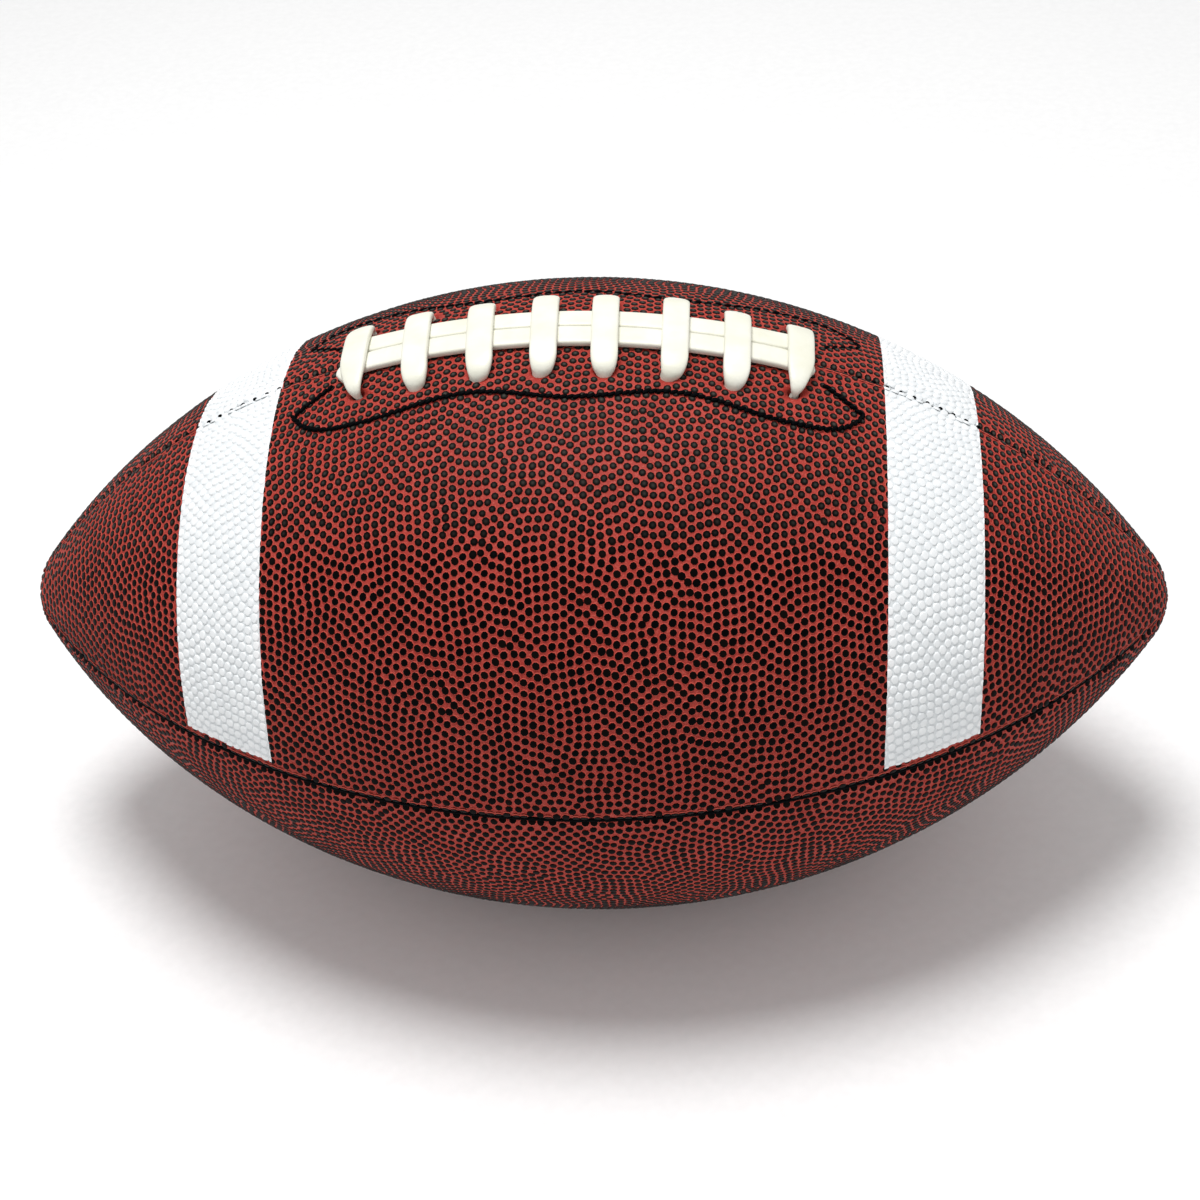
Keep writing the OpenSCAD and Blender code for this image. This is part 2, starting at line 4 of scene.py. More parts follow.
import bmesh
import bpy
import numpy as np
from mathutils import Matrix, Vector
from mathutils.kdtree import KDTree


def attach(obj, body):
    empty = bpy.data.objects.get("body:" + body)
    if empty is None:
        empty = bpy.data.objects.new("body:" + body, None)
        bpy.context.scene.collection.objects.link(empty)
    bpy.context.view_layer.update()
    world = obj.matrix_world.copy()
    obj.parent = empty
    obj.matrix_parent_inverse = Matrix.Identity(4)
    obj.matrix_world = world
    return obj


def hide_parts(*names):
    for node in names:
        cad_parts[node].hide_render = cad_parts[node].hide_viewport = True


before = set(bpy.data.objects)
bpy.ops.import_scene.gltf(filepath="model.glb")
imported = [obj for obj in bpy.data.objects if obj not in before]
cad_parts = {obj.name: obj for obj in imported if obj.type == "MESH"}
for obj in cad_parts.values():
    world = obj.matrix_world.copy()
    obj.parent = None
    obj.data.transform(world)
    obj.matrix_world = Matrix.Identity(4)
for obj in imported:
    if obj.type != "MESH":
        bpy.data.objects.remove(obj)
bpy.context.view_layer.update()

# Bladder
# A seamless moulded bag of black butyl rubber that holds the air, dented under the lacing.
# It keeps its solid and shows the dull, slightly dusty skin that it has from the mould.

MM = 0.001


def linear(colour):
    """An sRGB hex colour as linear red, green, blue and alpha."""
    shares = [int(colour[i:i + 2], 16) / 255 for i in (1, 3, 5)]
    return [s / 12.92 if s <= 0.04045 else ((s + 0.055) / 1.055) ** 2.4 for s in shares] + [1]


def add(tree, kind, inputs={}, stops=(), **settings):
    """Adds a node. An input takes a value, another node's output, or another node, which gives its
    first output in use. Stops are a ramp's two places and colours."""
    made = tree.nodes.new(kind)
    for name, value in settings.items():
        setattr(made, name, value)
    for end, (position, colour) in enumerate(stops):
        stop = made.color_ramp.elements[end]
        stop.position, stop.color = position, linear(colour)
    for key, value in inputs.items():
        if isinstance(value, bpy.types.Node):
            value = next(output for output in value.outputs if output.enabled)
        if isinstance(value, bpy.types.NodeSocket):
            tree.links.new(value, made.inputs[key])
        else:
            made.inputs[key].default_value = value
    return made


def start_material(name):
    """A new material, its empty tree, and the place on the piece."""
    material = bpy.data.materials.new(name)
    material.use_nodes = True
    tree = material.node_tree
    tree.nodes.clear()
    return material, tree, add(tree, "ShaderNodeTexCoord").outputs["Object"]


def finish(tree, look):
    """Ends a material with the look of its surface."""
    shader = add(tree, "ShaderNodeBsdfPrincipled", look)
    add(tree, "ShaderNodeOutputMaterial", {"Surface": shader})


def dress(material, *nodes):
    """Gives solids of the frame their finish."""
    for node in nodes:
        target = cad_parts[node].data.materials
        target.clear()
        target.append(material)


# Moulded butyl rubber: matt black with paler dusty clouds and a fine mould grain
butyl, tree, place = start_material("moulded butyl rubber")
clouds = add(tree, "ShaderNodeTexNoise", {"Vector": place, "Scale": 1 / (18 * MM), "Detail": 4})
grain = add(tree, "ShaderNodeTexNoise", {"Vector": place, "Scale": 1 / (0.5 * MM), "Detail": 2})
tint = add(tree, "ShaderNodeValToRGB", {"Fac": clouds}, [(0.35, "#1d1d1e"), (0.7, "#35363a")])
relief = add(tree, "ShaderNodeBump", {"Height": grain, "Distance": 0.05 * MM, "Strength": 0.5})
finish(tree, {"Base Color": tint, "Normal": relief, "Roughness": 0.72, "IOR": 1.52})
dress(butyl, "bladder")

# Valve
# A moulded rubber boot bonded into the bladder, whose neck shows in a hole of the cover, and a
# softer plug pushed into it with the needle's bore. Both have the rounded lips of moulded parts.

boot_rounding = 0.35
plug_rounding = 0.3
# The least bend of an edge that the mould rounded, in radians, and the bend past which an edge
# looks sharp, in degrees
rim_bend = 0.9
lip_bend = 40


def linked(name, data):
    """A new object in the scene."""
    made = bpy.data.objects.new(name, data)
    bpy.context.scene.collection.objects.link(made)
    return made


def stored(shape, mesh, sharp):
    """Puts a shape into a mesh, smooth but for edges that bend more than sharp degrees."""
    for face in shape.faces:
        face.smooth = True
    shape.to_mesh(mesh)
    shape.free()
    mesh.set_sharp_from_angle(angle=math.radians(sharp))


def softened(name, node, radius):
    """A piece with the shape of a frame solid and rounded edges."""
    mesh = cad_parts[node].data.copy()
    shape = bmesh.new()
    shape.from_mesh(mesh)
    bmesh.ops.remove_doubles(shape, verts=shape.verts, dist=0.001 * MM)
    bmesh.ops.dissolve_limit(shape, angle_limit=math.radians(1), verts=shape.verts,
                             edges=shape.edges)
    rims = [e for e in shape.edges if len(e.link_faces) == 2 and e.calc_face_angle() > rim_bend]
    bmesh.ops.bevel(shape, geom=rims, offset=radius * MM, offset_type="OFFSET", segments=3,
                    profile=0.5, affect="EDGES", clamp_overlap=True)
    bmesh.ops.triangulate(shape, faces=[f for f in shape.faces if len(f.verts) > 4])
    stored(shape, mesh, lip_bend)
    return linked(name, mesh)


# Moulded valve rubber: near-black, a little shinier than the bladder, with faint flow marks
valve_rubber, tree, place = start_material("moulded valve rubber")
flow = add(tree, "ShaderNodeTexNoise", {"Vector": place, "Scale": 1 / (2.5 * MM), "Detail": 5})
tint = add(tree, "ShaderNodeValToRGB", {"Fac": flow}, [(0.3, "#141416"), (0.75, "#27272a")])
relief = add(tree, "ShaderNodeBump", {"Height": flow, "Distance": 0.04 * MM, "Strength": 0.4})
finish(tree, {"Base Color": tint, "Normal": relief, "Roughness": 0.5, "IOR": 1.52})
for name, node, radius in (("moulded_valve_boot", "valve_boot", boot_rounding),
                           ("moulded_valve_plug", "valve_plug", plug_rounding)):
    piece = softened(name, node, radius)
    piece.data.materials.clear()
    piece.data.materials.append(valve_rubber)
    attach(piece, "root")
    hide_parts(node)

# Bladder guard
# A flexible oval of rubberised cloth between the bladder and the lace. It keeps its solid and
# shows a close grey weave sunk in rubber.

# A wave texture of scale 1 turns through 20 radians in one metre
wave_turn = 20


def plain_weave(tree, place, pitch, distortion, directions):
    """Threads across each other, a pitch in millimetres apart."""
    threads = [add(tree, "ShaderNodeTexWave",
                   {"Vector": place, "Scale": math.tau / (pitch * MM) / wave_turn,
                    "Distortion": distortion}, bands_direction=direction).outputs["Fac"]
               for direction in directions]
    return add(tree, "ShaderNodeMath", dict(enumerate(threads)), operation="MULTIPLY")


# Rubberised cloth: a plain weave of 0.9 mm threads, softened by the rubber over it
rubber_cloth, tree, place = start_material("rubberised cloth")
weave = plain_weave(tree, place, 0.9, 0.4, "XY")
tint = add(tree, "ShaderNodeValToRGB", {"Fac": weave}, [(0.0, "#5d5f62"), (0.8, "#94979b")])
relief = add(tree, "ShaderNodeBump", {"Height": weave, "Distance": 0.12 * MM, "Strength": 0.6})
finish(tree, {"Base Color": tint, "Normal": relief, "Roughness": 0.65, "IOR": 1.5})
dress(rubber_cloth, "bladder_guard")

# Linings
# Layers of woven cotton glued behind each cover panel, so that the ball keeps its shape. They
# keep their solids and show an unbleached plain weave.

# Unbleached cotton: a plain weave of 0.7 mm yarns with uneven slubs
cotton, tree, place = start_material("unbleached cotton")
weave = plain_weave(tree, place, 0.7, 0.8, "XZ")
slubs = add(tree, "ShaderNodeTexNoise", {"Vector": place, "Scale": 1 / (5 * MM), "Detail": 3})
shade = add(tree, "ShaderNodeMath", {0: weave, 1: slubs, 2: 0.2}, operation="MULTIPLY_ADD")
tint = add(tree, "ShaderNodeValToRGB", {"Fac": shade}, [(0.15, "#a3987c"), (0.7, "#e2dac4")])
relief = add(tree, "ShaderNodeBump", {"Height": weave, "Distance": 0.15 * MM, "Strength": 0.8})
finish(tree, {"Base Color": tint, "Normal": relief, "Roughness": 0.9, "Sheen Weight": 0.2})
dress(cotton, "front_upper_lining", "rear_upper_lining", "front_lower_lining",
      "rear_lower_lining")

# Lace facings
# Strips of split leather sewn behind the slit, through which the lace holes are punched. They
# keep their solids and show the flesh side's short nap.

# Split leather: a mottled brown suede with a fibrous nap
split_leather, tree, place = start_material("split leather")
mottle = add(tree, "ShaderNodeTexNoise", {"Vector": place, "Scale": 1 / (6 * MM), "Detail": 6})
nap = add(tree, "ShaderNodeTexNoise", {"Vector": place, "Scale": 1 / (0.4 * MM), "Detail": 4})
tint = add(tree, "ShaderNodeValToRGB", {"Fac": mottle}, [(0.3, "#553725"), (0.75, "#8a6246")])
relief = add(tree, "ShaderNodeBump", {"Height": nap, "Distance": 0.12 * MM, "Strength": 0.9})
finish(tree, {"Base Color": tint, "Normal": relief, "Roughness": 0.93, "Sheen Weight": 0.3})
dress(split_leather, "front_lace_facing", "rear_lace_facing")

# Cover panels
# Four pointed panels of embossed composition leather, sewn inside out, turned and laced shut, so
# that their edges roll in to the seams and their allowances lie inside. The skin between the
# pebbles is brick red, the edges at the seams are bare, and the upper panels hold the lace holes.

ball_length = 274
ball_diameter = 152
tip_radius = 16
tip_opening = 1.2
cover_thickness = 2.6
allowance_depth = 4.05
seam_allowance = 2.4
rolled_edge = 1.4
seam_gap = 0.03
lace_reach = 13
lace_pitch = 13.9
lace_crossings = 8
end_hole_spread = 1.6
lace_hole_diameter = 4.2
# How far the leather has closed round the straps at the end holes, and how far it was drawn
# towards the other holes and the seam
closed_hole = 0.6
closed_shift = 0.7
closed_pull = 0.8
neck_hole_diameter = 9.5
valve_angle = math.radians(45)
punch_past = 4
hole_sides = 32
neck_hole_sides = 48
# Distances from a seam at which the cover is measured out, close together where it rolls in
seam_steps = (0, 0.03, 0.1, 0.25, 0.45, 0.7, 1.0, 1.4, 2.0, 2.8)
# Lengths of a step along the belly and over the tips, and how many points lie across a panel's
# outside between the seams and across its inside
belly_step = 2.2
tip_step = 0.9
outside_points = 44
inside_points = 14
# The inside's least radius, in widths of an allowance, at which the two allowances lie apart
allowance_room = 1.5
merged_gap = 0.0005
# The bend past which an edge of the leather looks sharp, in degrees
crease_bend = 38

tip_centre = ball_length / 2 - tip_radius
belly_radius = ((ball_diameter / 2) ** 2 + tip_centre ** 2 - tip_radius ** 2) / (
    ball_diameter - 2 * tip_radius)
belly_drop = belly_radius - ball_diameter / 2
join_angle = math.atan2(tip_centre, belly_drop)
tip_end_angle = math.acos(tip_opening / 2 / tip_radius)
quarter = math.pi / 2
# The pieces are drawn about the ball's centre and raised, so that the ball rests on the floor
raised = Vector((0, 0, ball_diameter / 2 * MM))


def lean_and_radius(lean, depth):
    """Place along the ball and distance from its axis, for an outward direction's lean."""
    if abs(lean) > join_angle:
        radius = tip_radius - depth
        return math.copysign(tip_centre, lean) + radius * math.sin(lean), radius * math.cos(lean)
    radius = belly_radius - depth
    return radius * math.sin(lean), radius * math.cos(lean) - belly_drop


def outward(lean, turn):
    """The outward direction; turn goes round from the laced seam towards the front."""
    return Vector((math.sin(lean), -math.cos(lean) * math.sin(turn),
                   math.cos(lean) * math.cos(turn)))


def lengthwise(lean, turn):
    """The direction along the cover towards the right tip."""
    return Vector((math.cos(lean), math.sin(lean) * math.sin(turn),
                   -math.sin(lean) * math.cos(turn)))


def on_cover(lean, turn, height):
    """A point above the cover's surface, in millimetres."""
    x, radius = lean_and_radius(lean, -height)
    return Vector((x, -radius * math.sin(turn), radius * math.cos(turn)))


def at(x, around, height):
    """A point of the belly by its place along the ball and its distance round from the seam."""
    lean = math.asin(x / belly_radius)
    return on_cover(lean, around / lean_and_radius(lean, 0)[1], height)


def roll(distance):
    """How far the cover's edge has rolled in at a distance from the seam's plane."""
    left = max(0, rolled_edge - distance)
    return rolled_edge - math.sqrt(rolled_edge ** 2 - left ** 2)


def circle(sides, start=0):
    """Even steps round a circle, each as a cosine and a sine."""
    angles = [2 * math.pi * (k + start) / sides for k in range(sides)]
    return [(math.cos(angle), math.sin(angle)) for angle in angles]


def walls(shape, loops):
    """Faces between each loop of points and the next."""
    for low, high in zip(loops, loops[1:]):
        for k in range(len(low)):
            j = (k + 1) % len(low)
            shape.faces.new((low[k], low[j], high[j], high[k]))


def close_loops(shape, loops):
    """Walls between loops of points, with a cap at each end."""
    walls(shape, loops)
    shape.faces.new(loops[0])
    shape.faces.new(list(reversed(loops[-1])))


def placed(shape, place):
    """Brings a shape that was drawn in millimetres to its size and place."""
    bmesh.ops.scale(shape, vec=(MM, MM, MM), verts=shape.verts)
    bmesh.ops.translate(shape, vec=place, verts=shape.verts)


def finished(name, shape, place=raised):
    """A new piece from a shape in millimetres."""
    placed(shape, place)
    mesh = bpy.data.meshes.new(name)
    stored(shape, mesh, crease_bend)
    return linked(name, mesh)


def ring_leans():
    """Leans from one tip to the other, at even steps along the belly and over the tips."""
    belly_count = round(2 * join_angle * belly_radius / belly_step)
    tip_count = round((tip_end_angle - join_angle) * tip_radius / tip_step)
    belly = np.linspace(-join_angle, join_angle, belly_count + 1)
    tip = np.linspace(join_angle, tip_end_angle, tip_count + 1)[1:]
    return [float(a) for a in np.concatenate([-tip[::-1], belly, tip])]


def panel_section(lean):
    """One ring of a panel as (share of the quarter turn, depth): over the outside, in along one
    allowance, back along the inside and out along the other allowance."""
    radius = lean_and_radius(lean, 0)[1]
    length = radius * quarter
    fit = min(1, length / (4 * seam_steps[-1]))
    near = [n * fit / length for n in seam_steps]
    middle = list(np.linspace(near[-1], 1 - near[-1], outside_points))[1:-1]
    outside = []
    for share in near + middle + [1 - n for n in reversed(near)]:
        turn = share * quarter
        outside.append((share, max(roll(radius * math.sin(turn)), roll(radius * math.cos(turn)))))
    inner = lean_and_radius(lean, cover_thickness)[1]
    deep = lean_and_radius(lean, allowance_depth)[1]
    least = seam_allowance * allowance_room
    roomy = inner > least
    inner_share = math.asin(seam_allowance / inner) / quarter if roomy else 0.5
    deep_share = math.asin(seam_allowance / deep) / quarter if deep > least else 0.5
    inside_depth = cover_thickness if roomy else allowance_depth
    inside = [(1, allowance_depth), (1 - deep_share, allowance_depth)]
    inside += [(share, inside_depth)
               for share in np.linspace(1 - inner_share, inner_share, inside_points)]
    return outside + inside + [(deep_share, allowance_depth), (0, allowance_depth)]


def quarter_point(number, lean, share, depth):
    """A point of one quarter, kept just off its two seam planes."""
    x, radius = lean_and_radius(lean, depth)
    turn = share * quarter
    first, second = max(seam_gap, radius * math.cos(turn)), max(seam_gap, radius * math.sin(turn))
    start = number * quarter
    across = Vector((0, -math.sin(start), math.cos(start))) * first
    return across + Vector((0, -math.cos(start), -math.sin(start))) * second + Vector((x, 0, 0))


def panel(name, number):
    """One closed panel without its holes."""
    shape = bmesh.new()
    rings = [[shape.verts.new(quarter_point(number, lean, *spot)) for spot in panel_section(lean)]
             for lean in ring_leans()]
    walls(shape, rings)
    shape.faces.new(rings[0])
    shape.faces.new(rings[-1])
    bmesh.ops.remove_doubles(shape, verts=shape.verts, dist=merged_gap)
    bmesh.ops.recalc_face_normals(shape, faces=shape.faces)
    return finished(name, shape)


def hole_sites():
    """Places of the punched lace holes along the ball, with the length of each slot."""
    last = (lace_crossings - 1) / 2
    return [(lace_pitch * (i - last), end_hole_spread if abs(i - last) == last else 0)
            for i in range(lace_crossings)]


def punch(side, valve):
    """The punches that cut one upper panel's lace holes, and the valve's hole where it has one."""
    shape = bmesh.new()
    for x, spread in hole_sites():
        lean = math.asin(x / belly_radius)
        turn = side * lace_reach / lean_and_radius(lean, 0)[1]
        out, along = outward(lean, turn), lengthwise(lean, turn)
        top = 1 if spread else 0
        loops = []
        for height, closed in ((-cover_thickness - punch_past, 0), (-cover_thickness, 0),
                               (0, top), (punch_past, top)):
            radius = lace_hole_diameter / 2 - closed * closed_hole
            loop = []
            for c, s in circle(hole_sides, 0.5):
                reach = radius * c - math.copysign(closed * closed_shift, x)
                reach += math.copysign(spread * (1 - closed), c)
                width = radius * s + side * closed * closed_pull
                loop.append(shape.verts.new(on_cover(lean, turn, 0) + out * height
                                            + along * reach + out.cross(along) * width))
            loops.append(loop)
        close_loops(shape, loops)
    if valve:
        out, along = outward(0, -valve_angle), Vector((1, 0, 0))
        close_loops(shape, [[shape.verts.new(
            out * height + along * (neck_hole_diameter / 2 * c)
            + out.cross(along) * (neck_hole_diameter / 2 * s))
            for c, s in circle(neck_hole_sides)]
            for height in (ball_diameter / 4, ball_diameter / 2 + punch_past)])
    bmesh.ops.recalc_face_normals(shape, faces=shape.faces)
    return finished("punch", shape)


def settled(piece):
    """Makes a piece's modifiers part of its mesh."""
    graph = bpy.context.evaluated_depsgraph_get()
    mesh = bpy.data.meshes.new_from_object(piece.evaluated_get(graph))
    old = piece.data
    piece.modifiers.clear()
    piece.data = mesh
    bpy.data.meshes.remove(old)
    mesh.name = piece.name


# Embossed composition leather: brick red in the grooves with darker clouds and a lighter pink
# dust, a grain too fine to count, and white where the stripe's paint ends in a slightly ragged line
stripe_start = 68.2
stripe_width = 21.5
stripe_hem = 2.6
stripe_ragged = 0.15


def paint_share(tree, place):
    """1 where the white paint lies, from a point's place on the ball, and 0 elsewhere."""
    ragged = add(tree, "ShaderNodeTexNoise",
                 {"Vector": place, "Scale": 1 / (1.5 * MM), "Detail": 2})
    ragged = add(tree, "ShaderNodeMath", {0: ragged, 1: 2 * stripe_ragged * MM,
                                          2: -stripe_ragged * MM}, operation="MULTIPLY_ADD")
    parts = add(tree, "ShaderNodeSeparateXYZ", {"Vector": place}).outputs
    along = add(tree, "ShaderNodeMath", {0: parts["X"]}, operation="ABSOLUTE")
    along = add(tree, "ShaderNodeMath", {0: along, 1: ragged}, operation="ADD")
    height = add(tree, "ShaderNodeMath", {0: parts["Z"], 1: ragged}, operation="ADD")
    share = 1
    for value, side, limit in ((along, "GREATER_THAN", stripe_start),
                               (along, "LESS_THAN", stripe_start + stripe_width),
                               (height, "GREATER_THAN", ball_diameter / 2 + stripe_hem)):
        within = add(tree, "ShaderNodeMath", {0: value, 1: limit * MM}, operation=side)
        share = add(tree, "ShaderNodeMath", {0: share, 1: within}, operation="MULTIPLY")
    return share


cover_skin, tree, place = start_material("embossed composition leather")
clouds = add(tree, "ShaderNodeTexNoise", {"Vector": place, "Scale": 1 / (9 * MM), "Detail": 4})
dust = add(tree, "ShaderNodeTexNoise", {"Vector": place, "Scale": 1 / (0.45 * MM), "Detail": 3})
tint = add(tree, "ShaderNodeValToRGB", {"Fac": clouds}, [(0.3, "#9a2c24"), (0.72, "#ac3c33")])
dusty = add(tree, "ShaderNodeMapRange", {"Value": dust, 1: 0.5, 2: 0.75, 4: 0.5})
tint = add(tree, "ShaderNodeMix", {0: dusty, 6: tint, 7: linear("#cf7063")}, data_type="RGBA")
tint = add(tree, "ShaderNodeMix", {0: paint_share(tree, place), 6: tint, 7: linear("#eef0f2")},
           data_type="RGBA")
relief = add(tree, "ShaderNodeBump", {"Height": dust, "Distance": 0.05 * MM, "Strength": 0.6})
finish(tree, {"Base Color": tint, "Normal": relief, "Roughness": 0.58, "IOR": 1.48,
              "Specular IOR Level": 0.2})

quarters = (("front_upper", 0), ("front_lower", 1), ("rear_lower", 2), ("rear_upper", 3))
for name, number in quarters:
    piece = panel(name + "_cover", number)
    if "upper" in name:
        cutter = punch(1 if "front" in name else -1, "rear" in name)
        cut = piece.modifiers.new("lace holes", "BOOLEAN")
        cut.object = cutter
        cut.operation = "DIFFERENCE"
        cut.solver = "EXACT"
        settled(piece)
        bpy.data.objects.remove(cutter)
    piece.data.materials.clear()
    piece.data.materials.append(cover_skin)
    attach(piece, "root")
    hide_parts(name + "_cover_panel")

# Pebbles of the cover
# The cover is pressed between rolls that raise its skin into thousands of round pebbles, set as
# closely as their uneven sizes allow. Each has a near-black flat top and a red flank.

pebble_pitch = 2.17
pebble_height = 0.4
pebble_sides = 8
crown_radius = 0.8
crown_share = 0.74
skirt_radius = 1.08
skirt_level = -0.04
seam_margin = 0.75
hole_margin = 0.4
valve_margin = 0.6
# How much wider apart the pebbles stand round the ball than along it
rounding = 1.14
# The swirls: how many, their lengths and how slight they are, and how far single pebbles
# stray from them, as a share of the pitch
swirl_count = 16
swirl_lengths = (14, 46)
swirl_calm = 140
swirl_rounds = 12
stray_share = 0.14
# How near to a seam no pebble starts, and how far past it there are points that push
seam_strip = (0.5, 3)
# How far pebbles push each other and how far they give way, as shares of the pitch
push_share = 1.75
give_share = 0.5
push_rounds = 30
place_seed = 40
size_seed = 11


def dome(name, crown, skirt, height):
    """A pebble with a low crown and a sloping skirt, which ends just under the skin."""
    shape = bmesh.new()
    reach = shape.verts.layers.float.new("reach")
    top = shape.verts.new((0, 0, height))
    rings = []
    for radius, level in ((crown, height * crown_share), (skirt, skirt_level)):
        rings.append([shape.verts.new((radius * c, radius * s, level))
                      for c, s in circle(pebble_sides)])
        for vert in rings[-1]:
            vert[reach] = radius
    inner, outer = rings
    for k in range(len(inner)):
        j = (k + 1) % len(inner)
        shape.faces.new((top, inner[k], inner[j]))
        shape.faces.new((inner[k], outer[k], outer[j]))
        shape.faces.new((inner[k], outer[j], inner[j]))
    return finished(name, shape, Vector())


def swirled_rows(seed):
    """Close rows of points on a flat sheet, as (along, across) in millimetres, bent into the slow
    swirls that real hide shows."""
    chance = random.Random(seed)
    half_length = join_angle * belly_radius + (tip_end_angle - join_angle) * tip_radius
    pitch = pebble_pitch * math.sqrt(rounding)
    row_step = pitch * math.sqrt(3) / 2 / rounding
    rows, places = int(half_length / row_step) + 4, int(ball_diameter / 2 / pitch) + 4
    sheet = np.array([(i * row_step, (k + i % 2 / 2) * pitch)
                      for i in range(-rows, rows + 1) for k in range(-places, places + 1)])
    waves = []
    for _ in range(swirl_count):
        heading, length = chance.uniform(0, 2 * math.pi), chance.uniform(*swirl_lengths)
        waves.append((2 * math.pi / length * np.array((math.cos(heading), math.sin(heading))),
                      chance.uniform(0, 2 * math.pi),
                      chance.uniform(0.5, 1) * length / swirl_calm))
    for _ in range(swirl_rounds):
        drift = np.zeros_like(sheet)
        for wave, phase, strength in waves:
            swing = np.cos(sheet @ wave + phase) * strength
            drift += np.stack([swing * wave[1], -swing * wave[0]], 1)
        sheet += drift
    return sheet + np.array([[chance.gauss(0, stray_share) * pebble_pitch for _ in range(2)]
                             for _ in range(len(sheet))])


def lean_and_turn(spot):
    """The lean and turn of the surface point nearest to a spot in the first quarter."""
    radius = math.hypot(spot.y, spot.z)
    lean = math.atan2(spot.x, radius + belly_drop)
    if abs(lean) > join_angle:
        lean = math.atan2(spot.x - math.copysign(tip_centre, spot.x), radius)
    lean = max(-tip_end_angle, min(tip_end_angle, lean))
    return lean, min(max(math.atan2(-spot.y, spot.z), 0), quarter)


def spread_points(seed):
    """Places of one panel's pebbles as (lean, turn in the quarter), pushed apart until each has
    its own room. Points past the seams stay where they are and only push."""
    inner, outer = [], []
    for along, across in swirled_rows(seed):
        lean = along / belly_radius
        if abs(lean) > join_angle:
            past = abs(along) - join_angle * belly_radius
            lean = math.copysign(join_angle + past / tip_radius, along)
        if abs(lean) > tip_end_angle:
            continue
        radius = lean_and_radius(lean, 0)[1]
        turn = quarter / 2 + across / radius
        to_seam = radius * min(turn, quarter - turn)
        if to_seam > seam_strip[0]:
            inner.append(on_cover(lean, turn, 0))
        elif -seam_strip[1] < to_seam < -seam_strip[0]:
            outer.append(on_cover(lean, turn, 0))
    reach = push_share * pebble_pitch
    shrink = Vector((1 / rounding, 1, 1))
    for _ in range(push_rounds):
        near = KDTree(len(inner) + len(outer))
        for k, spot in enumerate(inner + outer):
            near.insert((spot.x * rounding, spot.y, spot.z), k)
        near.balance()
        moved = []
        for k, spot in enumerate(inner):
            push, own = Vector(), Vector((spot.x * rounding, spot.y, spot.z))
            for other, j, gap in near.find_range(own, reach):
                if j != k and gap > 0:
                    push += (own - other) * ((1 - gap / reach) ** 2 / gap)
            lean, turn = lean_and_turn(spot + push * shrink * (give_share * pebble_pitch))
            edge = min(quarter / 2, seam_margin / lean_and_radius(lean, 0)[1])
            moved.append(on_cover(lean, min(max(turn, edge), quarter - edge), 0))
        inner = moved
    return [lean_and_turn(spot) for spot in inner]


def point_bed(name, points, **directions):
    """Loose points, each with its directions, that carry pebbles or stitches."""
    mesh = bpy.data.meshes.new(name)
    mesh.from_pydata([p * MM + raised for p in points], [], [])
    for label, values in directions.items():
        layer = mesh.attributes.new(label, "FLOAT_VECTOR", "POINT")
        layer.data.foreach_set("vector", np.array([v[:] for v in values], np.float32).ravel())
    return linked(name, mesh)


def pebble_bed(name, number, spots):
    """The pebbles' points on one panel, clear of its holes. The rear upper panel is numbered 3 and
    counts its turn from the rear seam."""
    points, directions, holes = [], [], []
    if number in (0, 3):
        for x, spread in hole_sites():
            middle = (x - math.copysign(closed_shift, x), lace_reach - closed_pull)
            holes.append((at(*(middle if spread else (x, lace_reach)), 0),
                          lace_hole_diameter / 2 + hole_margin))
    if number == 3:
        holes.append((on_cover(0, valve_angle, 0), neck_hole_diameter / 2 + valve_margin))
    for lean, turn in spots:
        own = on_cover(lean, quarter - turn if number == 3 else turn, 0)
        if any((own - hole).length < room for hole, room in holes):
            continue
        radius = lean_and_radius(lean, 0)[1]
        first, second = radius * math.cos(turn), radius * math.sin(turn)
        depth = max(roll(first), roll(second))
        direction = outward(lean, turn)
        for distance, towards in ((second, Vector((0, -1, 0))), (first, Vector((0, 0, 1)))):
            left = max(0, rolled_edge - distance) / rolled_edge
            if left > 0 and abs(roll(distance) - depth) < 0.0001:
                direction = direction * math.sqrt(1 - left ** 2) - towards * left
        points.append(quarter_point(number, lean, turn / quarter, depth))
        directions.append((Matrix.Rotation(number * quarter, 3, "X") @ direction).normalized())
    return point_bed(name, points, outward=directions)


def start_instancer(name, sizes):
    """A tree that takes points, a shape, a material and named sizes, and those inputs."""
    tree = bpy.data.node_groups.new(name, "GeometryNodeTree")
    tree.is_modifier = True
    sockets = tree.interface
    for label, kind in (("Geometry", "Geometry"), ("Shape", "Object"), ("Material", "Material")):
        sockets.new_socket(label, in_out="INPUT", socket_type="NodeSocket" + kind)
    for label, value in sizes.items():
        kind = "NodeSocketInt" if isinstance(value, int) else "NodeSocketFloat"
        sockets.new_socket(label, in_out="INPUT", socket_type=kind).default_value = value
    sockets.new_socket("Geometry", in_out="OUTPUT", socket_type="NodeSocketGeometry")
    return tree, add(tree, "NodeGroupInput").outputs


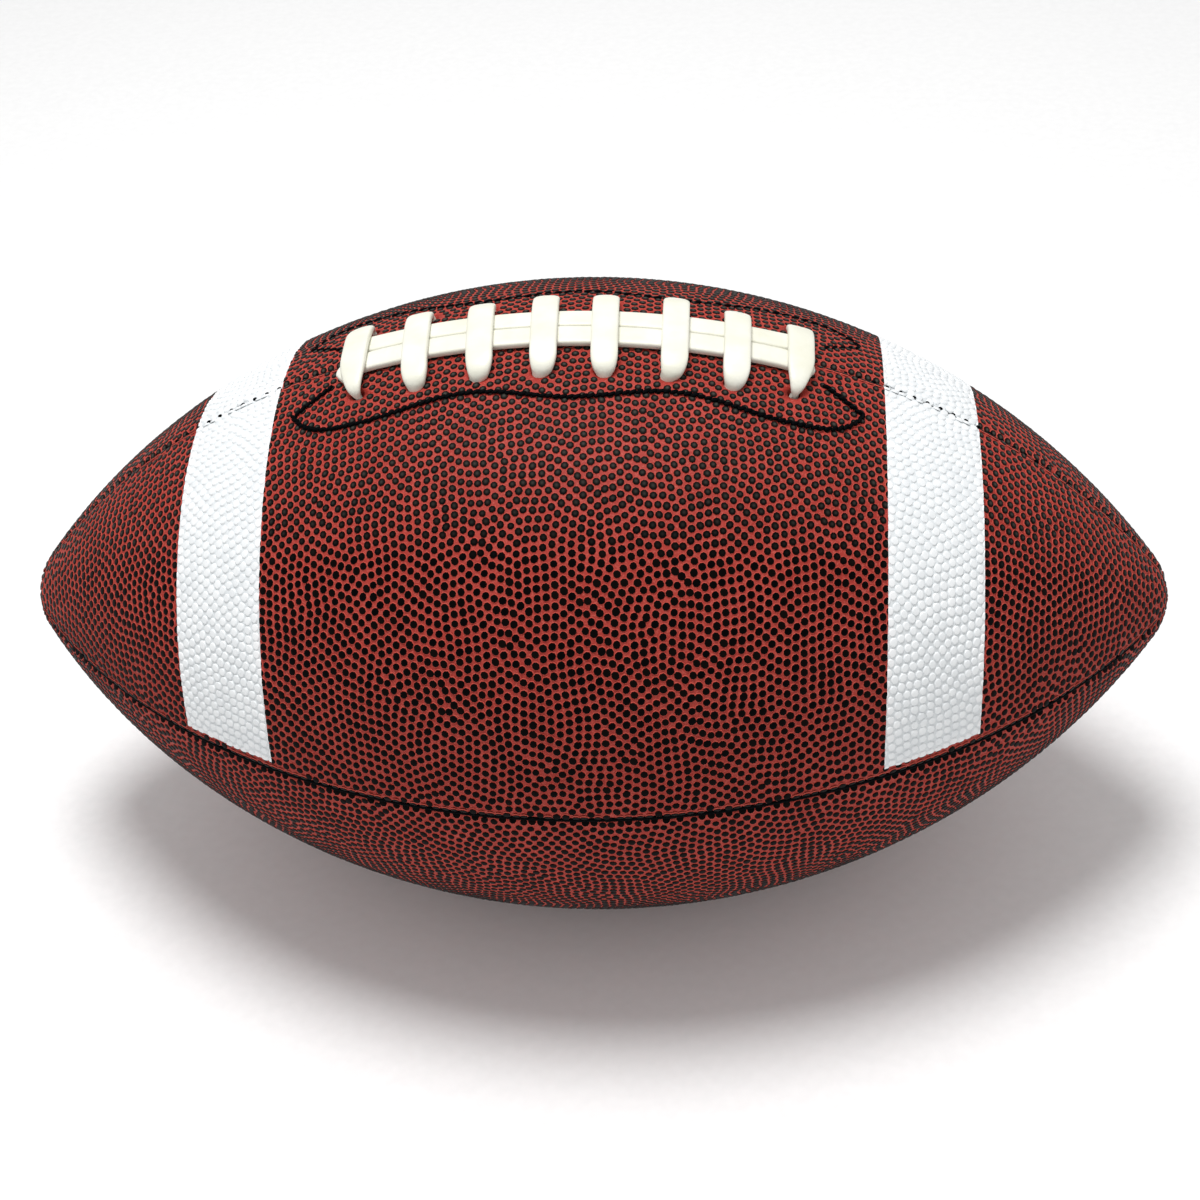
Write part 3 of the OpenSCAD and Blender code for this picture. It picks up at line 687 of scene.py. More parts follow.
def instances(tree, entry, heading, spin, scale):
    """The shape on every point, stood outwards, with its length along a heading but for its own
    small spin."""
    direction = add(tree, "GeometryNodeInputNamedAttribute", {"Name": "outward"},
                    data_type="FLOAT_VECTOR")
    facing = add(tree, "FunctionNodeAlignRotationToVector", {"Vector": direction}, axis="Z")
    laid = add(tree, "FunctionNodeAlignRotationToVector", {"Rotation": facing, "Vector": heading},
               axis="X", pivot_axis="Z")
    spin = add(tree, "ShaderNodeCombineXYZ", {"Z": spin})
    spin = add(tree, "FunctionNodeEulerToRotation", {"Euler": spin})
    turned = add(tree, "FunctionNodeRotateRotation", {"Rotation": laid, "Rotate By": spin},
                 rotation_space="LOCAL")
    shape = add(tree, "GeometryNodeObjectInfo", {"Object": entry["Shape"]}).outputs["Geometry"]
    return add(tree, "GeometryNodeInstanceOnPoints",
               {"Points": entry["Geometry"], "Instance": shape, "Rotation": turned,
                "Scale": scale})


def end_instancer(tree, entry, made):
    """Ends a tree with plain geometry in its material."""
    real = add(tree, "GeometryNodeRealizeInstances", {"Geometry": made})
    done = add(tree, "GeometryNodeSetMaterial", {"Geometry": real, "Material": entry["Material"]})
    add(tree, "NodeGroupOutput", {"Geometry": done})


def stood_on(bed, tree, values):
    """Runs a tree on a bed of points and keeps the result as the bed's plain mesh."""
    run = bed.modifiers.new(tree.name, "NODES")
    run.node_group = tree
    for item in tree.interface.items_tree:
        if item.item_type == "SOCKET" and item.in_out == "INPUT" and item.name in values:
            run[item.identifier] = values[item.name]
    settled(bed)


# Embossed pebbles: a near-black top that differs a little from one pebble to the next, with a
# painted grey highlight on the crowns of the pebbles on the upper side of the ball, and a brick-red
# flank that turns pale pink at its skirt, white where the stripe's paint crosses them
ink_edge = (0.88, 0.94)
ink_ragged = 0.17
# Painted highlight: where the ball's surface faces up this much, the pebbles' crowns start to grey
top_highlight_from = 0.72

pebble_skin, tree, place = start_material("inked embossed leather")
reach = add(tree, "ShaderNodeAttribute", attribute_name="reach").outputs["Fac"]
shade = add(tree, "ShaderNodeAttribute", attribute_name="shade").outputs["Fac"]
speck = add(tree, "ShaderNodeTexNoise", {"Vector": place, "Scale": 1 / (0.5 * MM), "Detail": 3})
rim = add(tree, "ShaderNodeMath", {0: speck, 1: 2 * ink_ragged, 2: -ink_ragged},
          operation="MULTIPLY_ADD")
rim = add(tree, "ShaderNodeMath", {0: reach, 1: rim}, operation="ADD")
bare = add(tree, "ShaderNodeMapRange", {"Value": rim, 1: ink_edge[0], 2: ink_edge[1]})
# Painted highlight: grey on the crowns of the pebbles on the upper side, strongest at each crown's
# centre, in place of the top light's glint
upward = place
for operation, vector in (("SUBTRACT", raised), ("MULTIPLY", (0, 1, 1)), ("NORMALIZE", (0, 0, 0))):
    upward = add(tree, "ShaderNodeVectorMath", {0: upward, 1: vector}, operation=operation)
upward = add(tree, "ShaderNodeSeparateXYZ", {"Vector": upward}).outputs["Z"]
top_highlight_share = add(tree, "ShaderNodeMapRange", {"Value": upward, 1: top_highlight_from})
crown = add(tree, "ShaderNodeMapRange", {"Value": reach, 2: 0.6, 3: 0.85, 4: 0.06})
painted_crown_highlight = add(tree, "ShaderNodeMath", {0: top_highlight_share, 1: crown}, operation="MULTIPLY")
flank = add(tree, "ShaderNodeValToRGB", {"Fac": reach}, [(0.9, "#74180f"), (1.0, "#c65a4e")])
tint = linear("#030304")
for share, colour in ((shade, linear("#0d0907")), (painted_crown_highlight, linear("#55534d")), (bare, flank),
                      (paint_share(tree, place), linear("#f2f3f4"))):
    tint = add(tree, "ShaderNodeMix", {0: share, 6: tint, 7: colour}, data_type="RGBA")
relief = add(tree, "ShaderNodeBump", {"Height": speck, "Distance": 0.04 * MM, "Strength": 0.5})
finish(tree, {"Base Color": tint, "Normal": relief, "Roughness": 0.45, "IOR": 1.48,
              "Specular IOR Level": 0.02, "Sheen Weight": 0.1, "Sheen Roughness": 0.4})

pebble_tree, entry = start_instancer(
    "pebbles", {"Seed": 0, "Smallest": 0.87, "Largest": 0.99, "Stretch": 1.17})
chances = {}
for label, low, high, later in (("size", entry["Smallest"], entry["Largest"], 1),
                                ("stretch", 1.0, entry["Stretch"], 2), ("spin", -0.7, 0.7, 0),
                                ("shade", 0.0, 1.0, 0)):
    seed = add(pebble_tree, "ShaderNodeMath", {0: entry["Seed"], 1: later}, operation="ADD")
    chances[label] = add(pebble_tree, "FunctionNodeRandomValue", {2: low, 3: high, "Seed": seed},
                         data_type="FLOAT")
size = chances["size"]
length = add(pebble_tree, "ShaderNodeMath", {0: size, 1: chances["stretch"]},
             operation="MULTIPLY")
scale = add(pebble_tree, "ShaderNodeCombineXYZ", {"X": size, "Y": length, "Z": size})
stood = instances(pebble_tree, entry, (1, 0, 0), chances["spin"], scale)
shaded = add(pebble_tree, "GeometryNodeStoreNamedAttribute",
             {"Geometry": stood, "Name": "shade", "Value": chances["shade"]},
             data_type="FLOAT", domain="INSTANCE")
end_instancer(pebble_tree, entry, shaded)

pebble = dome("pebble", crown_radius, skirt_radius, pebble_height)
striped_spots = {}
for name, number in quarters:
    plain, striped = [], []
    for lean, turn in spread_points(place_seed + number):
        x = abs(lean_and_radius(lean, 0)[0])
        surface = on_cover(lean, turn, 0)
        height = -surface.y if number == 3 else surface.z
        inside = stripe_start + skirt_radius < x < stripe_start + stripe_width - skirt_radius
        under_ink = "upper" in name and inside and height > stripe_hem + skirt_radius
        (striped if under_ink else plain).append((lean, turn))
    striped_spots[name] = striped
    bed = pebble_bed(name + "_pebbles", number, plain)
    stood_on(bed, pebble_tree, {"Shape": pebble, "Material": pebble_skin,
                                "Seed": size_seed + number})
    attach(bed, "root")
bpy.data.objects.remove(pebble)

# Stripes
# A thick white ink is printed on the two upper panels before they are sewn. It follows the
# pebbles under it, so only their shapes show, and it stops short of the lower seam.

ink_height = 0.06
ink_root = -0.05
inked_crown = 0.82
inked_skirt = 1.16
inked_height = 0.5
inked_seed = 31
coat_steps = 12
coat_points = 46


def stripe_coat(name, number, side):
    """The ink between the pebbles, from the seam's groove to the stripe's hem."""
    shape = bmesh.new()
    first = math.asin(stripe_start / belly_radius)
    last = math.asin((stripe_start + stripe_width) / belly_radius)
    sheets = []
    for height in (ink_height, ink_root):
        rows = []
        for step in range(coat_steps + 1):
            lean = side * (first + (last - first) * step / coat_steps)
            radius = lean_and_radius(lean, 0)[1]
            hem = math.acos(stripe_hem / radius) / quarter
            near = [n / (radius * quarter) for n in seam_steps[2:]]
            row = []
            for share in near + list(np.linspace(near[-1], hem, coat_points))[1:]:
                depth = roll(radius * math.sin(share * quarter)) - height
                share = 1 - share if number == 3 else share
                row.append(shape.verts.new(quarter_point(number, lean, share, depth)))
            rows.append(row)
        sheets.append(rows)
    top, under = sheets
    steps, places = len(top), len(top[0])
    for i in range(steps - 1):
        for k in range(places - 1):
            for rows in sheets:
                shape.faces.new((rows[i][k], rows[i][k + 1], rows[i + 1][k + 1], rows[i + 1][k]))
    edge = [(i, 0) for i in range(steps)] + [(steps - 1, k) for k in range(1, places)]
    edge += [(i, places - 1) for i in range(steps - 2, -1, -1)]
    edge += [(0, k) for k in range(places - 2, 0, -1)]
    for (i, k), (m, n) in zip(edge, edge[1:] + edge[:1]):
        shape.faces.new((top[i][k], top[m][n], under[m][n], under[i][k]))
    bmesh.ops.recalc_face_normals(shape, faces=shape.faces)
    return finished(name, shape)


def joined(piece, shape, bed, material):
    """Keeps a shape and a bed's mesh together as a piece's mesh, all in one material."""
    shape.from_mesh(bed.data)
    for face in shape.faces:
        face.material_index = 0
    shape.to_mesh(piece.data)
    shape.free()
    piece.data.materials.clear()
    piece.data.materials.append(material)


# White screen ink: bright, slightly cool and satin, with faint uneven coverage, and painted shade
# that greys it towards the pebbles' skirts and in the grooves between them
white_ink, tree, place = start_material("white screen ink")
coverage = add(tree, "ShaderNodeTexNoise", {"Vector": place, "Scale": 1 / (4 * MM), "Detail": 5})
grit = add(tree, "ShaderNodeTexNoise", {"Vector": place, "Scale": 1 / (0.4 * MM), "Detail": 2})
tint = add(tree, "ShaderNodeValToRGB", {"Fac": coverage}, [(0.3, "#e7eaec"), (0.65, "#f3f5f6")])
reach = add(tree, "ShaderNodeAttribute", attribute_name="reach").outputs["Fac"]
# Painted shade: grey towards each pebble's skirt and in the grooves
painted_groove_shade = add(tree, "ShaderNodeMapRange", {"Value": reach, 1: 0.86, 2: 1.12})
tint = add(tree, "ShaderNodeMix", {0: painted_groove_shade, 6: tint, 7: linear("#dde1e3")}, data_type="RGBA")
relief = add(tree, "ShaderNodeBump", {"Height": grit, "Distance": 0.03 * MM, "Strength": 0.5})
finish(tree, {"Base Color": tint, "Normal": relief, "Roughness": 0.5, "IOR": 1.49})

inked_pebble = dome("inked pebble", inked_crown, inked_skirt, inked_height)
for name, number in (("front", 0), ("rear", 3)):
    for word, side in (("left", -1), ("right", 1)):
        coat = stripe_coat(f"{name}_{word}_stripe_coat", number, side)
        inked_spots = [s for s in striped_spots[name + "_upper"] if s[0] * side > 0]
        bed = pebble_bed("bed", number, inked_spots)
        stood_on(bed, pebble_tree, {"Shape": inked_pebble, "Material": white_ink,
                                    "Seed": inked_seed + number})
        whole = bmesh.new()
        whole.from_mesh(coat.data)
        # The ink between the pebbles lies in the grooves and takes the painted groove shade
        reach = whole.verts.layers.float.new("reach")
        for vert in whole.verts:
            vert[reach] = skirt_radius
        joined(coat, whole, bed, white_ink)
        bpy.data.objects.remove(bed)
        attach(coat, "root")
        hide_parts(f"{name}_{word}_stripe")
bpy.data.objects.remove(inked_pebble)

# Seam stitching
# The panels are sewn together from inside with a waxed black thread in a lockstitch. Outside the
# thread's tops show, sunk in the groove between the rolled edges along an unbroken black strand,
# which is part thread and part painted shade of the groove.

seam_pitch = 3.4
stitch_depth = 0.3
strand_depth = 0.34
strand_radius = 0.52
strand_sides = 8
slit_reach = 58
thread_end = 0.95 * join_angle
thread_seed = 5
# The laced seam is pulled tighter than the others, so its thread lies deeper and shows as dots
sunk_strand_depth = 2.8 * strand_depth
sunk_stitch_depth = 0.4 * stitch_depth
# How full a stitch stays towards its ends: 1 gives an ellipse, less a fuller one
stitch_fullness = 0.6


def stitch(name, length, width, height, steps):
    """A spindle of thread that lies along X and swells in its middle."""
    shape = bmesh.new()
    loops = []
    for i in range(1, steps):
        angle = math.pi * i / steps
        swell = math.sin(angle) ** stitch_fullness
        loops.append([shape.verts.new((-length / 2 * math.cos(angle), width / 2 * swell * c,
                                       height / 2 * swell * s)) for c, s in circle(strand_sides)])
    walls(shape, loops)
    for tip, loop in ((-length / 2, loops[0]), (length / 2, loops[-1])):
        point = shape.verts.new((tip, 0, 0))
        for k in range(len(loop)):
            shape.faces.new((loop[(k + 1) % len(loop)], loop[k], point))
    bmesh.ops.recalc_face_normals(shape, faces=shape.faces)
    return finished(name, shape, Vector())


def row_tree(name, sizes):
    """A tree that lays one stitch along every point's own direction, each a little askew."""
    tree, entry = start_instancer(name, {"Seed": 0, **sizes})
    along = add(tree, "GeometryNodeInputNamedAttribute", {"Name": "along"},
                data_type="FLOAT_VECTOR")
    askew, size = [add(tree, "FunctionNodeRandomValue",
                       {2: entry[low], 3: entry[high], "Seed": entry["Seed"]}, data_type="FLOAT")
                   for low, high in (("Least skew", "Most skew"), ("Smallest", "Largest"))]
    end_instancer(tree, entry, instances(tree, entry, along, askew, size))
    return tree


def tube(shape, centres, radius):
    """A closed round strand through centres that all lie in one plane."""
    normal = (centres[1] - centres[0]).cross(centres[-1] - centres[0]).normalized()
    loops = []
    for i, centre in enumerate(centres):
        tangent = (centres[min(i + 1, len(centres) - 1)] - centres[max(i - 1, 0)]).normalized()
        across = tangent.cross(normal)
        loops.append([shape.verts.new(centre + across * (radius * c) + normal * (radius * s))
                      for c, s in circle(strand_sides)])
    close_loops(shape, loops)


# Waxed black polyester thread: a dark blue-black with the fine twist of its plies
waxed_thread, tree, place = start_material("waxed polyester thread")
twist = add(tree, "ShaderNodeTexNoise", {"Vector": place, "Scale": 1 / (0.25 * MM), "Detail": 3})
tint = add(tree, "ShaderNodeValToRGB", {"Fac": twist}, [(0.35, "#010102"), (0.7, "#080b0e")])
relief = add(tree, "ShaderNodeBump", {"Height": twist, "Distance": 0.06 * MM, "Strength": 0.8})
finish(tree, {"Base Color": tint, "Normal": relief, "Roughness": 0.6, "IOR": 1.5,
              "Specular IOR Level": 0.03})

long_stitch = stitch("long stitch", length=2.5, width=1.35, height=0.8, steps=6)
short_stitch = stitch("short stitch", length=0.95, width=0.8, height=0.8, steps=6)
stitch_tree = row_tree("stitches", {"Smallest": 0.85, "Largest": 1.15, "Least skew": -0.12,
                                    "Most skew": 0.12})
slit_end = math.asin(slit_reach / belly_radius)
bold = (strand_depth, stitch_depth, long_stitch)
sunk = (sunk_strand_depth, sunk_stitch_depth, short_stitch)
seams = (("front_seam_thread", quarter, -thread_end, thread_end, bold),
         ("rear_seam_thread", -quarter, -thread_end, thread_end, bold),
         ("bottom_seam_thread", math.pi, -thread_end, thread_end, bold),
         ("left_lace_seam_thread", 0, -thread_end, -slit_end, sunk),
         ("right_lace_seam_thread", 0, slit_end, thread_end, sunk))
for node, turn, first, last, (strand, depth, shape) in seams:
    count = round((last - first) * belly_radius / seam_pitch)
    leans = [first + (last - first) * (k + 0.5) / count for k in range(count)]
    bed = point_bed(node.replace("_thread", "_stitching"),
                    [on_cover(lean, turn, -depth) for lean in leans],
                    outward=[outward(lean, turn) for lean in leans],
                    along=[lengthwise(lean, turn) for lean in leans])
    stood_on(bed, stitch_tree, {"Shape": shape, "Material": waxed_thread,
                                "Seed": thread_seed + len(node)})
    # The unbroken strand along the groove: thread, drawn wide and dark enough to stand also for the
    # groove's shade (painted shade)
    whole = bmesh.new()
    tube(whole, [on_cover(first + (last - first) * k / (2 * count), turn, -strand)
                 for k in range(2 * count + 1)], strand_radius)
    placed(whole, raised)
    bmesh.ops.recalc_face_normals(whole, faces=whole.faces)
    for face in whole.faces:
        face.smooth = True
    joined(bed, whole, bed, waxed_thread)
    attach(bed, "root")
    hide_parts(node)
bpy.data.objects.remove(long_stitch)
bpy.data.objects.remove(short_stitch)

# Facing stitching
# A heavy black thread sews each facing to its panel with one row that leaves the lace, turns at a
# point, runs back in a long wave and ends beside the lace again. Its stitches lie like a rope.

thread_width = 0.95
stitch_reach = 19.5
stitch_wave = 1.4
stitch_wave_length = 46
stitch_tip = (63, 13.2)
stitch_shoulder = 49
stitch_end = (54.5, 7.4)
# How far the arc to the point is pulled out, and how far the row bows on its way in
pull_share = 0.75
bow = (0.4, 0.2)
arc_steps = 12
wave_points = 73
rope_pitch = 1.5
rear_spacing = 1.55
# How high the rows lie on the cover; the rear one is drawn flush
front_height = 0.5
rear_height = 0.2
rope_seed = 60


def long_row(x):
    """The long row's distance round from the seam at a place along the ball."""
    return stitch_reach + stitch_wave * math.cos(2 * math.pi * x / stitch_wave_length)


def curve_point(a, b, c, share):
    """A point of the arc from a to c that b pulls out, at a share of its way."""
    return tuple(p * (1 - share) ** 2 + 2 * q * share * (1 - share) + r * share ** 2
                 for p, q, r in zip(a, b, c))


shoulder = (stitch_shoulder, long_row(stitch_shoulder))
pull = (stitch_shoulder + (stitch_tip[0] - stitch_shoulder) * pull_share, shoulder[1])
way_in = tuple((a + b) / 2 + c for a, b, c in zip(stitch_end, stitch_tip, bow))
half = [stitch_end, way_in] + [curve_point(stitch_tip, pull, shoulder, k / arc_steps)
                               for k in range(arc_steps)]
row = [(x, long_row(x)) for x in np.linspace(stitch_shoulder, -stitch_shoulder, wave_points)]
route = half + row + [(-x, around) for x, around in reversed(half)]

rope_stitch = stitch("rope stitch", length=2.0, width=thread_width, height=thread_width,
                     steps=7)
rope_tree = row_tree("rope stitches", {"Smallest": 0.92, "Largest": 1.08, "Least skew": 0.3,
                                       "Most skew": 0.5})
for name, side, spacing, height in (("front", 1, 1, front_height),
                                    ("rear", -1, rear_spacing, rear_height)):
    path = [at(x, side * around, height) for x, around in route]
    lengths = np.cumsum([0] + [(b - a).length for a, b in zip(path, path[1:])])
    count = round(lengths[-1] / rope_pitch / spacing)
    points, directions, tangents = [], [], []
    for k in range(count):
        travelled = lengths[-1] * (k + 0.5) / count
        i = min(int(np.searchsorted(lengths, travelled)) - 1, len(path) - 2)
        share = (travelled - lengths[i]) / (lengths[i + 1] - lengths[i])
        spot = path[i].lerp(path[i + 1], share)
        points.append(spot)
        directions.append(outward(math.asin(spot.x / belly_radius),
                                  math.atan2(-spot.y, spot.z)))
        tangents.append((path[i + 1] - path[i]).normalized())
    bed = point_bed(name + "_rope_stitching", points, outward=directions, along=tangents)
    stood_on(bed, rope_tree, {"Shape": rope_stitch, "Material": waxed_thread,
                              "Seed": rope_seed + side})
    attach(bed, "root")
    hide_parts(name + "_facing_stitching")
bpy.data.objects.remove(rope_stitch)

# Lace
# One flat strap of cream vinyl closes the slit. It runs both ways beside the seam, crosses
# inside, and then zigzags back through the holes over the two runs, and its ends are tucked in.

lace_width = 6
lace_thickness = 1.9
lace_sides = 20
strand_gap = 0.15
run_lift = 0.25
lace_tail = 7
# No two crossings were pulled alike. For the ends from the left crossing to the right one: how far
# each lies to the right, the length over which it narrows to its hole, how much nearer to the seam
# it goes down, and how softly it bends
front_ends = ((0, 9, 0.4, 0.6), (0.5, 4.4, -0.6, 0.6), (0.9, 4.6, -0.6, 0.65),
              (0.8, 4.4, -0.5, 0.6), (0, 4.2, -0.6, 0.6), (1, 4.5, -0.4, 0.6),
              (0.3, 4.6, -0.6, 0.65), (0, 8.5, 0.9, 0.75))
rear_ends = ((-0.6, 8, 0.2, 1.7), (-1.2, 4.4, 0, 1.7), (-0.9, 4.4, 0.1, 1.9),
             (-0.4, 4.4, -0.4, 1.1), (-1, 4.4, -0.4, 1.1), (0.6, 4.4, -0.5, 0.8),
             (0.2, 4.4, 0.2, 2.2), (0, 4.4, 0.8, 2.6))
layer_gap = 0.25
lining_thickness = 1.2
facing_thickness = 1.4
facing_inside = cover_thickness + 2 * layer_gap + lining_thickness + facing_thickness
inner_bend = 0.8 * lace_thickness
# Steps over a crossing, through the wall, round a bend, between two bends inside, round a run's
# sweep, along its way in under the end crossing, and along its straight
crossing_steps = 60
wall_steps = 6
bend_steps = 6
loop_steps = 6
sweep_steps = 12
neck_steps = 8
run_steps = 30
# Powers that keep a crossing full towards its holes and narrow a run early on its way in
arch_fullness = 0.6
neck_fullness = 0.8
# How far the end crossings keep inward in their holes, and how much of a crossing's lean its
# rear end keeps
end_inset = 0.35 * end_hole_spread
rear_lean = 0.4
last_hole = lace_crossings - 1
lane = lace_width / 2 + 0.1
run_height = strand_gap + run_lift + lace_thickness / 2
arch_height = 3 * strand_gap + 1.5 * lace_thickness
end_arch_height = arch_height + strand_gap
hole_strand = lace_hole_diameter - 4 * strand_gap
end_strand = 2 * (end_hole_spread - strand_gap)
# The runs turn under the end crossings, whose outer sides they just pass, and go down first
fan_elbows = {-1: (1.9, 5.4), 1: (0.7, 5.2)}
fan_end = -0.2
early = 1.5
flat_section = (lace_width, lace_thickness)
mouth_section = (hole_strand, 0.85 * hole_strand)
bent_section = (hole_strand, 1.15 * lace_thickness)
end_section = (end_strand, 1.15 * lace_thickness)
tip_section = (0.5 * end_strand, 0.8 * lace_thickness)


def hole_place(i):
    """The place of a lace hole along the ball."""
    return (i - last_hole / 2) * lace_pitch


end_hole = hole_place(last_hole)
outer_hole = end_hole + end_hole_spread
inner_hole = end_hole - end_hole_spread
fan_reach = 0.34 * lace_pitch


def mix(a, b, share):
    """The value, place or section at a share of the way from a to b."""
    if isinstance(a, tuple):
        return tuple(mix(p, q, share) for p, q in zip(a, b))
    return a + (b - a) * share


def station(x, around, height, heading, section, squareness=0.5):
    """A place on the lace: its centre, the direction of its width, and its section. The heading of
    the width goes from lengthwise (0) to sideways (90)."""
    lean = math.asin(x / belly_radius)
    turn = around / lean_and_radius(lean, 0)[1]
    side = Vector((0, -math.cos(turn), -math.sin(turn)))
    angle = math.radians(heading)
    return (on_cover(lean, turn, height),
            lengthwise(lean, turn) * math.cos(angle) + side * math.sin(angle),
            section[0], section[1], squareness)


def crossing_mouth(i, side):
    """The place where a crossing goes down, by its end's own pull."""
    inward = {0: end_inset, last_hole: -end_inset}.get(i, 0)
    pull, _, short, _ = (front_ends if side > 0 else rear_ends)[i]
    lean = 0 if side > 0 else rear_lean * pull
    return hole_place(i) + inward + lean, side * (lace_reach - short)


def run_mouth(end, side):
    """The place where a run goes down, under the end crossing."""
    return end * (end_hole + fan_end), side * (lace_reach - early)


def crossing(i, side):
    """Over the top from one side to the other, gathered at its ends into the holes. The end
    crossings are drawn out to points and cover the runs that share their holes."""
    shared = i in (0, last_hole)
    made = []
    for k in range(crossing_steps + 1):
        angle = math.pi * k / crossing_steps
        over = math.copysign(abs(math.cos(angle)) ** arch_fullness, math.cos(angle))
        end = 1 if side * over > 0 else -1
        _, tongue, _, softness = (front_ends if end > 0 else rear_ends)[i]
        mouth, reach = crossing_mouth(i, end)
        height = (end_arch_height if shared else arch_height) * max(0, math.sin(angle)) ** softness
        left = 1 - min(1, math.hypot(abs(reach) * (1 - abs(over)), height) / tongue)
        full = 1 - left ** 2
        pull = mix(front_ends[i][0], rear_ends[i][0], 0.5 - side * over / 2)
        made.append(station(
            mix(hole_place(i) + pull, mouth, left if shared else 1 - full), reach * abs(over),
            height, 0, mix(tip_section if shared else mouth_section, flat_section, full),
            mix(1, 0.5, full ** 2)))
    return made


def through_wall(mouth, inside, down, headings, sections):
    """Down or up through the cover, lining and facing. The strap turns and spreads mostly in the
    lower layers, where nothing is seen of it."""
    made = []
    for k in range(1, wall_steps):
        depth = k / wall_steps if down else 1 - k / wall_steps
        late = depth ** 2 if down else 1 - depth ** 2
        made.append(station(*mix(mouth, inside, depth ** 2), -facing_inside * depth,
                            mix(*headings, late), mix(*sections, late)))
    return made


def bend(share):
    """A round bend under the facing, as (distance along, depth)."""
    angle = quarter * share
    return inner_bend * (1 - math.cos(angle)), inner_bend * math.sin(angle)


def inside_loop(start, stop, heading, sections):
    """Inside the ball from one hole to another, widest half way."""
    length = math.dist(start, stop)
    path = [bend(k / bend_steps) for k in range(bend_steps + 1)]
    path += [(mix(inner_bend, length - inner_bend, k / loop_steps), inner_bend)
             for k in range(1, loop_steps)]
    path += [(length - along, depth) for along, depth in reversed(path[:bend_steps + 1])]
    made = []
    for distance, depth in path:
        near = min(distance, length - distance)
        widened = max(0, (near - inner_bend) / (length / 2 - inner_bend))
        width, thickness = sections[0] if distance < length / 2 else sections[1]
        made.append(station(
            *mix(start, stop, distance / length), -facing_inside - depth, heading,
            (mix(width, lace_width, widened), mix(thickness, lace_thickness,
                                                  depth / inner_bend))))
    return made


def tucked_end(place, first):
    """A tucked end inside the ball; the first runs from its tail to its hole, the last back."""
    path = [bend(k / bend_steps) for k in range(bend_steps + 1)] + [(lace_tail, inner_bend)]
    made = [station(place[0] + distance, place[1], -facing_inside - depth, 90,
                    (end_strand, mix(end_section[1], lace_thickness, depth / inner_bend)))
            for distance, depth in path]
    return made[::-1] if first else made


def fan(end, side, entering):
    """From a run to its end hole: a sweep flat on the cover, a narrowing way in under the end
    crossing, then a round bend down."""
    spread, elbow_reach = fan_elbows[end]
    start = (end * (end_hole - fan_reach), side * lane)
    corner = (end * (end_hole + spread), side * lane)
    elbow = (corner[0], side * elbow_reach)
    mouth = run_mouth(end, side)
    brink = (mouth[0], mouth[1] - side * run_height)
    way = 1 if entering else -1
    spots = []
    for k in range(sweep_steps + 1):
        share = math.sin(quarter * k / sweep_steps)
        spots.append((curve_point(start, corner, elbow, share), flat_section,
                      [(c - a) * (1 - share) + (b - c) * share
                       for a, c, b in zip(start, corner, elbow)]))
    for k in range(1, neck_steps + 1):
        share = k / neck_steps
        eased = (1 - math.cos(math.pi * share)) / 2
        sideways = (brink[0] - elbow[0]) * quarter * math.sin(math.pi * share)
        spots.append(((mix(elbow[0], brink[0], eased), mix(elbow[1], brink[1], share)),
                      (mix(lace_width, tip_section[0], share ** neck_fullness),
                       lace_thickness), (sideways, brink[1] - elbow[1])))
    made = [station(*spot, run_height, math.degrees(math.atan2(-way * heading[0],
                                                               way * heading[1])), section)
            for spot, section, heading in spots]
    for k in range(1, bend_steps + 1):
        angle = quarter * k / bend_steps
        made.append(station(brink[0], brink[1] + side * run_height * math.sin(angle),
                            run_height * math.cos(angle), 0 if side * way > 0 else 180,
                            mix((tip_section[0], lace_thickness), tip_section, k / bend_steps)))
    return made if entering else made[::-1]


def run(side, direction):
    """The straight run between two fans."""
    return [station(direction * mix(-1, 1, k / run_steps) * (end_hole - fan_reach), side * lane,
                    run_height, -90 * direction, flat_section) for k in range(1, run_steps)]


def inner_place(i):
    """The place where the zigzag uses a hole, inward of the shared strands at the two ends."""
    return {0: -inner_hole, last_hole: inner_hole}.get(i, hole_place(i))


def zigzag(i):
    """A crossing, then down, along inside to the next hole and up."""
    side = -1 if (last_hole - i) % 2 == 0 else 1
    spot = (inner_place(i), -side * lace_reach)
    here = going_in if i in (0, last_hole) else (mouth_section, bent_section)
    made = crossing(i, side) + through_wall(crossing_mouth(i, -side), spot, True, (0, 90), here)
    if i == 0:
        return made + tucked_end(spot, False)
    following = (inner_place(i - 1), -side * lace_reach)
    there = coming_out if i == 1 else (bent_section, mouth_section)
    return (made + inside_loop(spot, following, 90, (here[1], there[0]))
            + through_wall(crossing_mouth(i - 1, -side), following, False, (90, 0), there))


going_in, coming_out = (tip_section, end_section), (end_section, tip_section)
rear_right, rear_left = (outer_hole, -lace_reach), (-outer_hole, -lace_reach)
front_right, front_left = (outer_hole, lace_reach), (-outer_hole, lace_reach)
rear_right_inner = (inner_hole, -lace_reach)
stations = (
    tucked_end(rear_right, True)
    + through_wall(run_mouth(1, -1), rear_right, False, (90, 0), coming_out)
    + fan(1, -1, False) + run(-1, -1) + fan(-1, -1, True)
    + through_wall(run_mouth(-1, -1), rear_left, True, (180, 180), going_in)
    + inside_loop(rear_left, front_left, 180, (end_section, end_section))
    + through_wall(run_mouth(-1, 1), front_left, False, (180, 180), coming_out)
    + fan(-1, 1, False) + run(1, 1) + fan(1, 1, True)
    + through_wall(run_mouth(1, 1), front_right, True, (0, 0), going_in)
    + inside_loop(front_right, rear_right_inner, 0, (end_section, end_section))
    + through_wall(crossing_mouth(last_hole, -1), rear_right_inner, False, (0, 0), coming_out)
)
for i in range(last_hole, -1, -1):
    stations += zigzag(i)

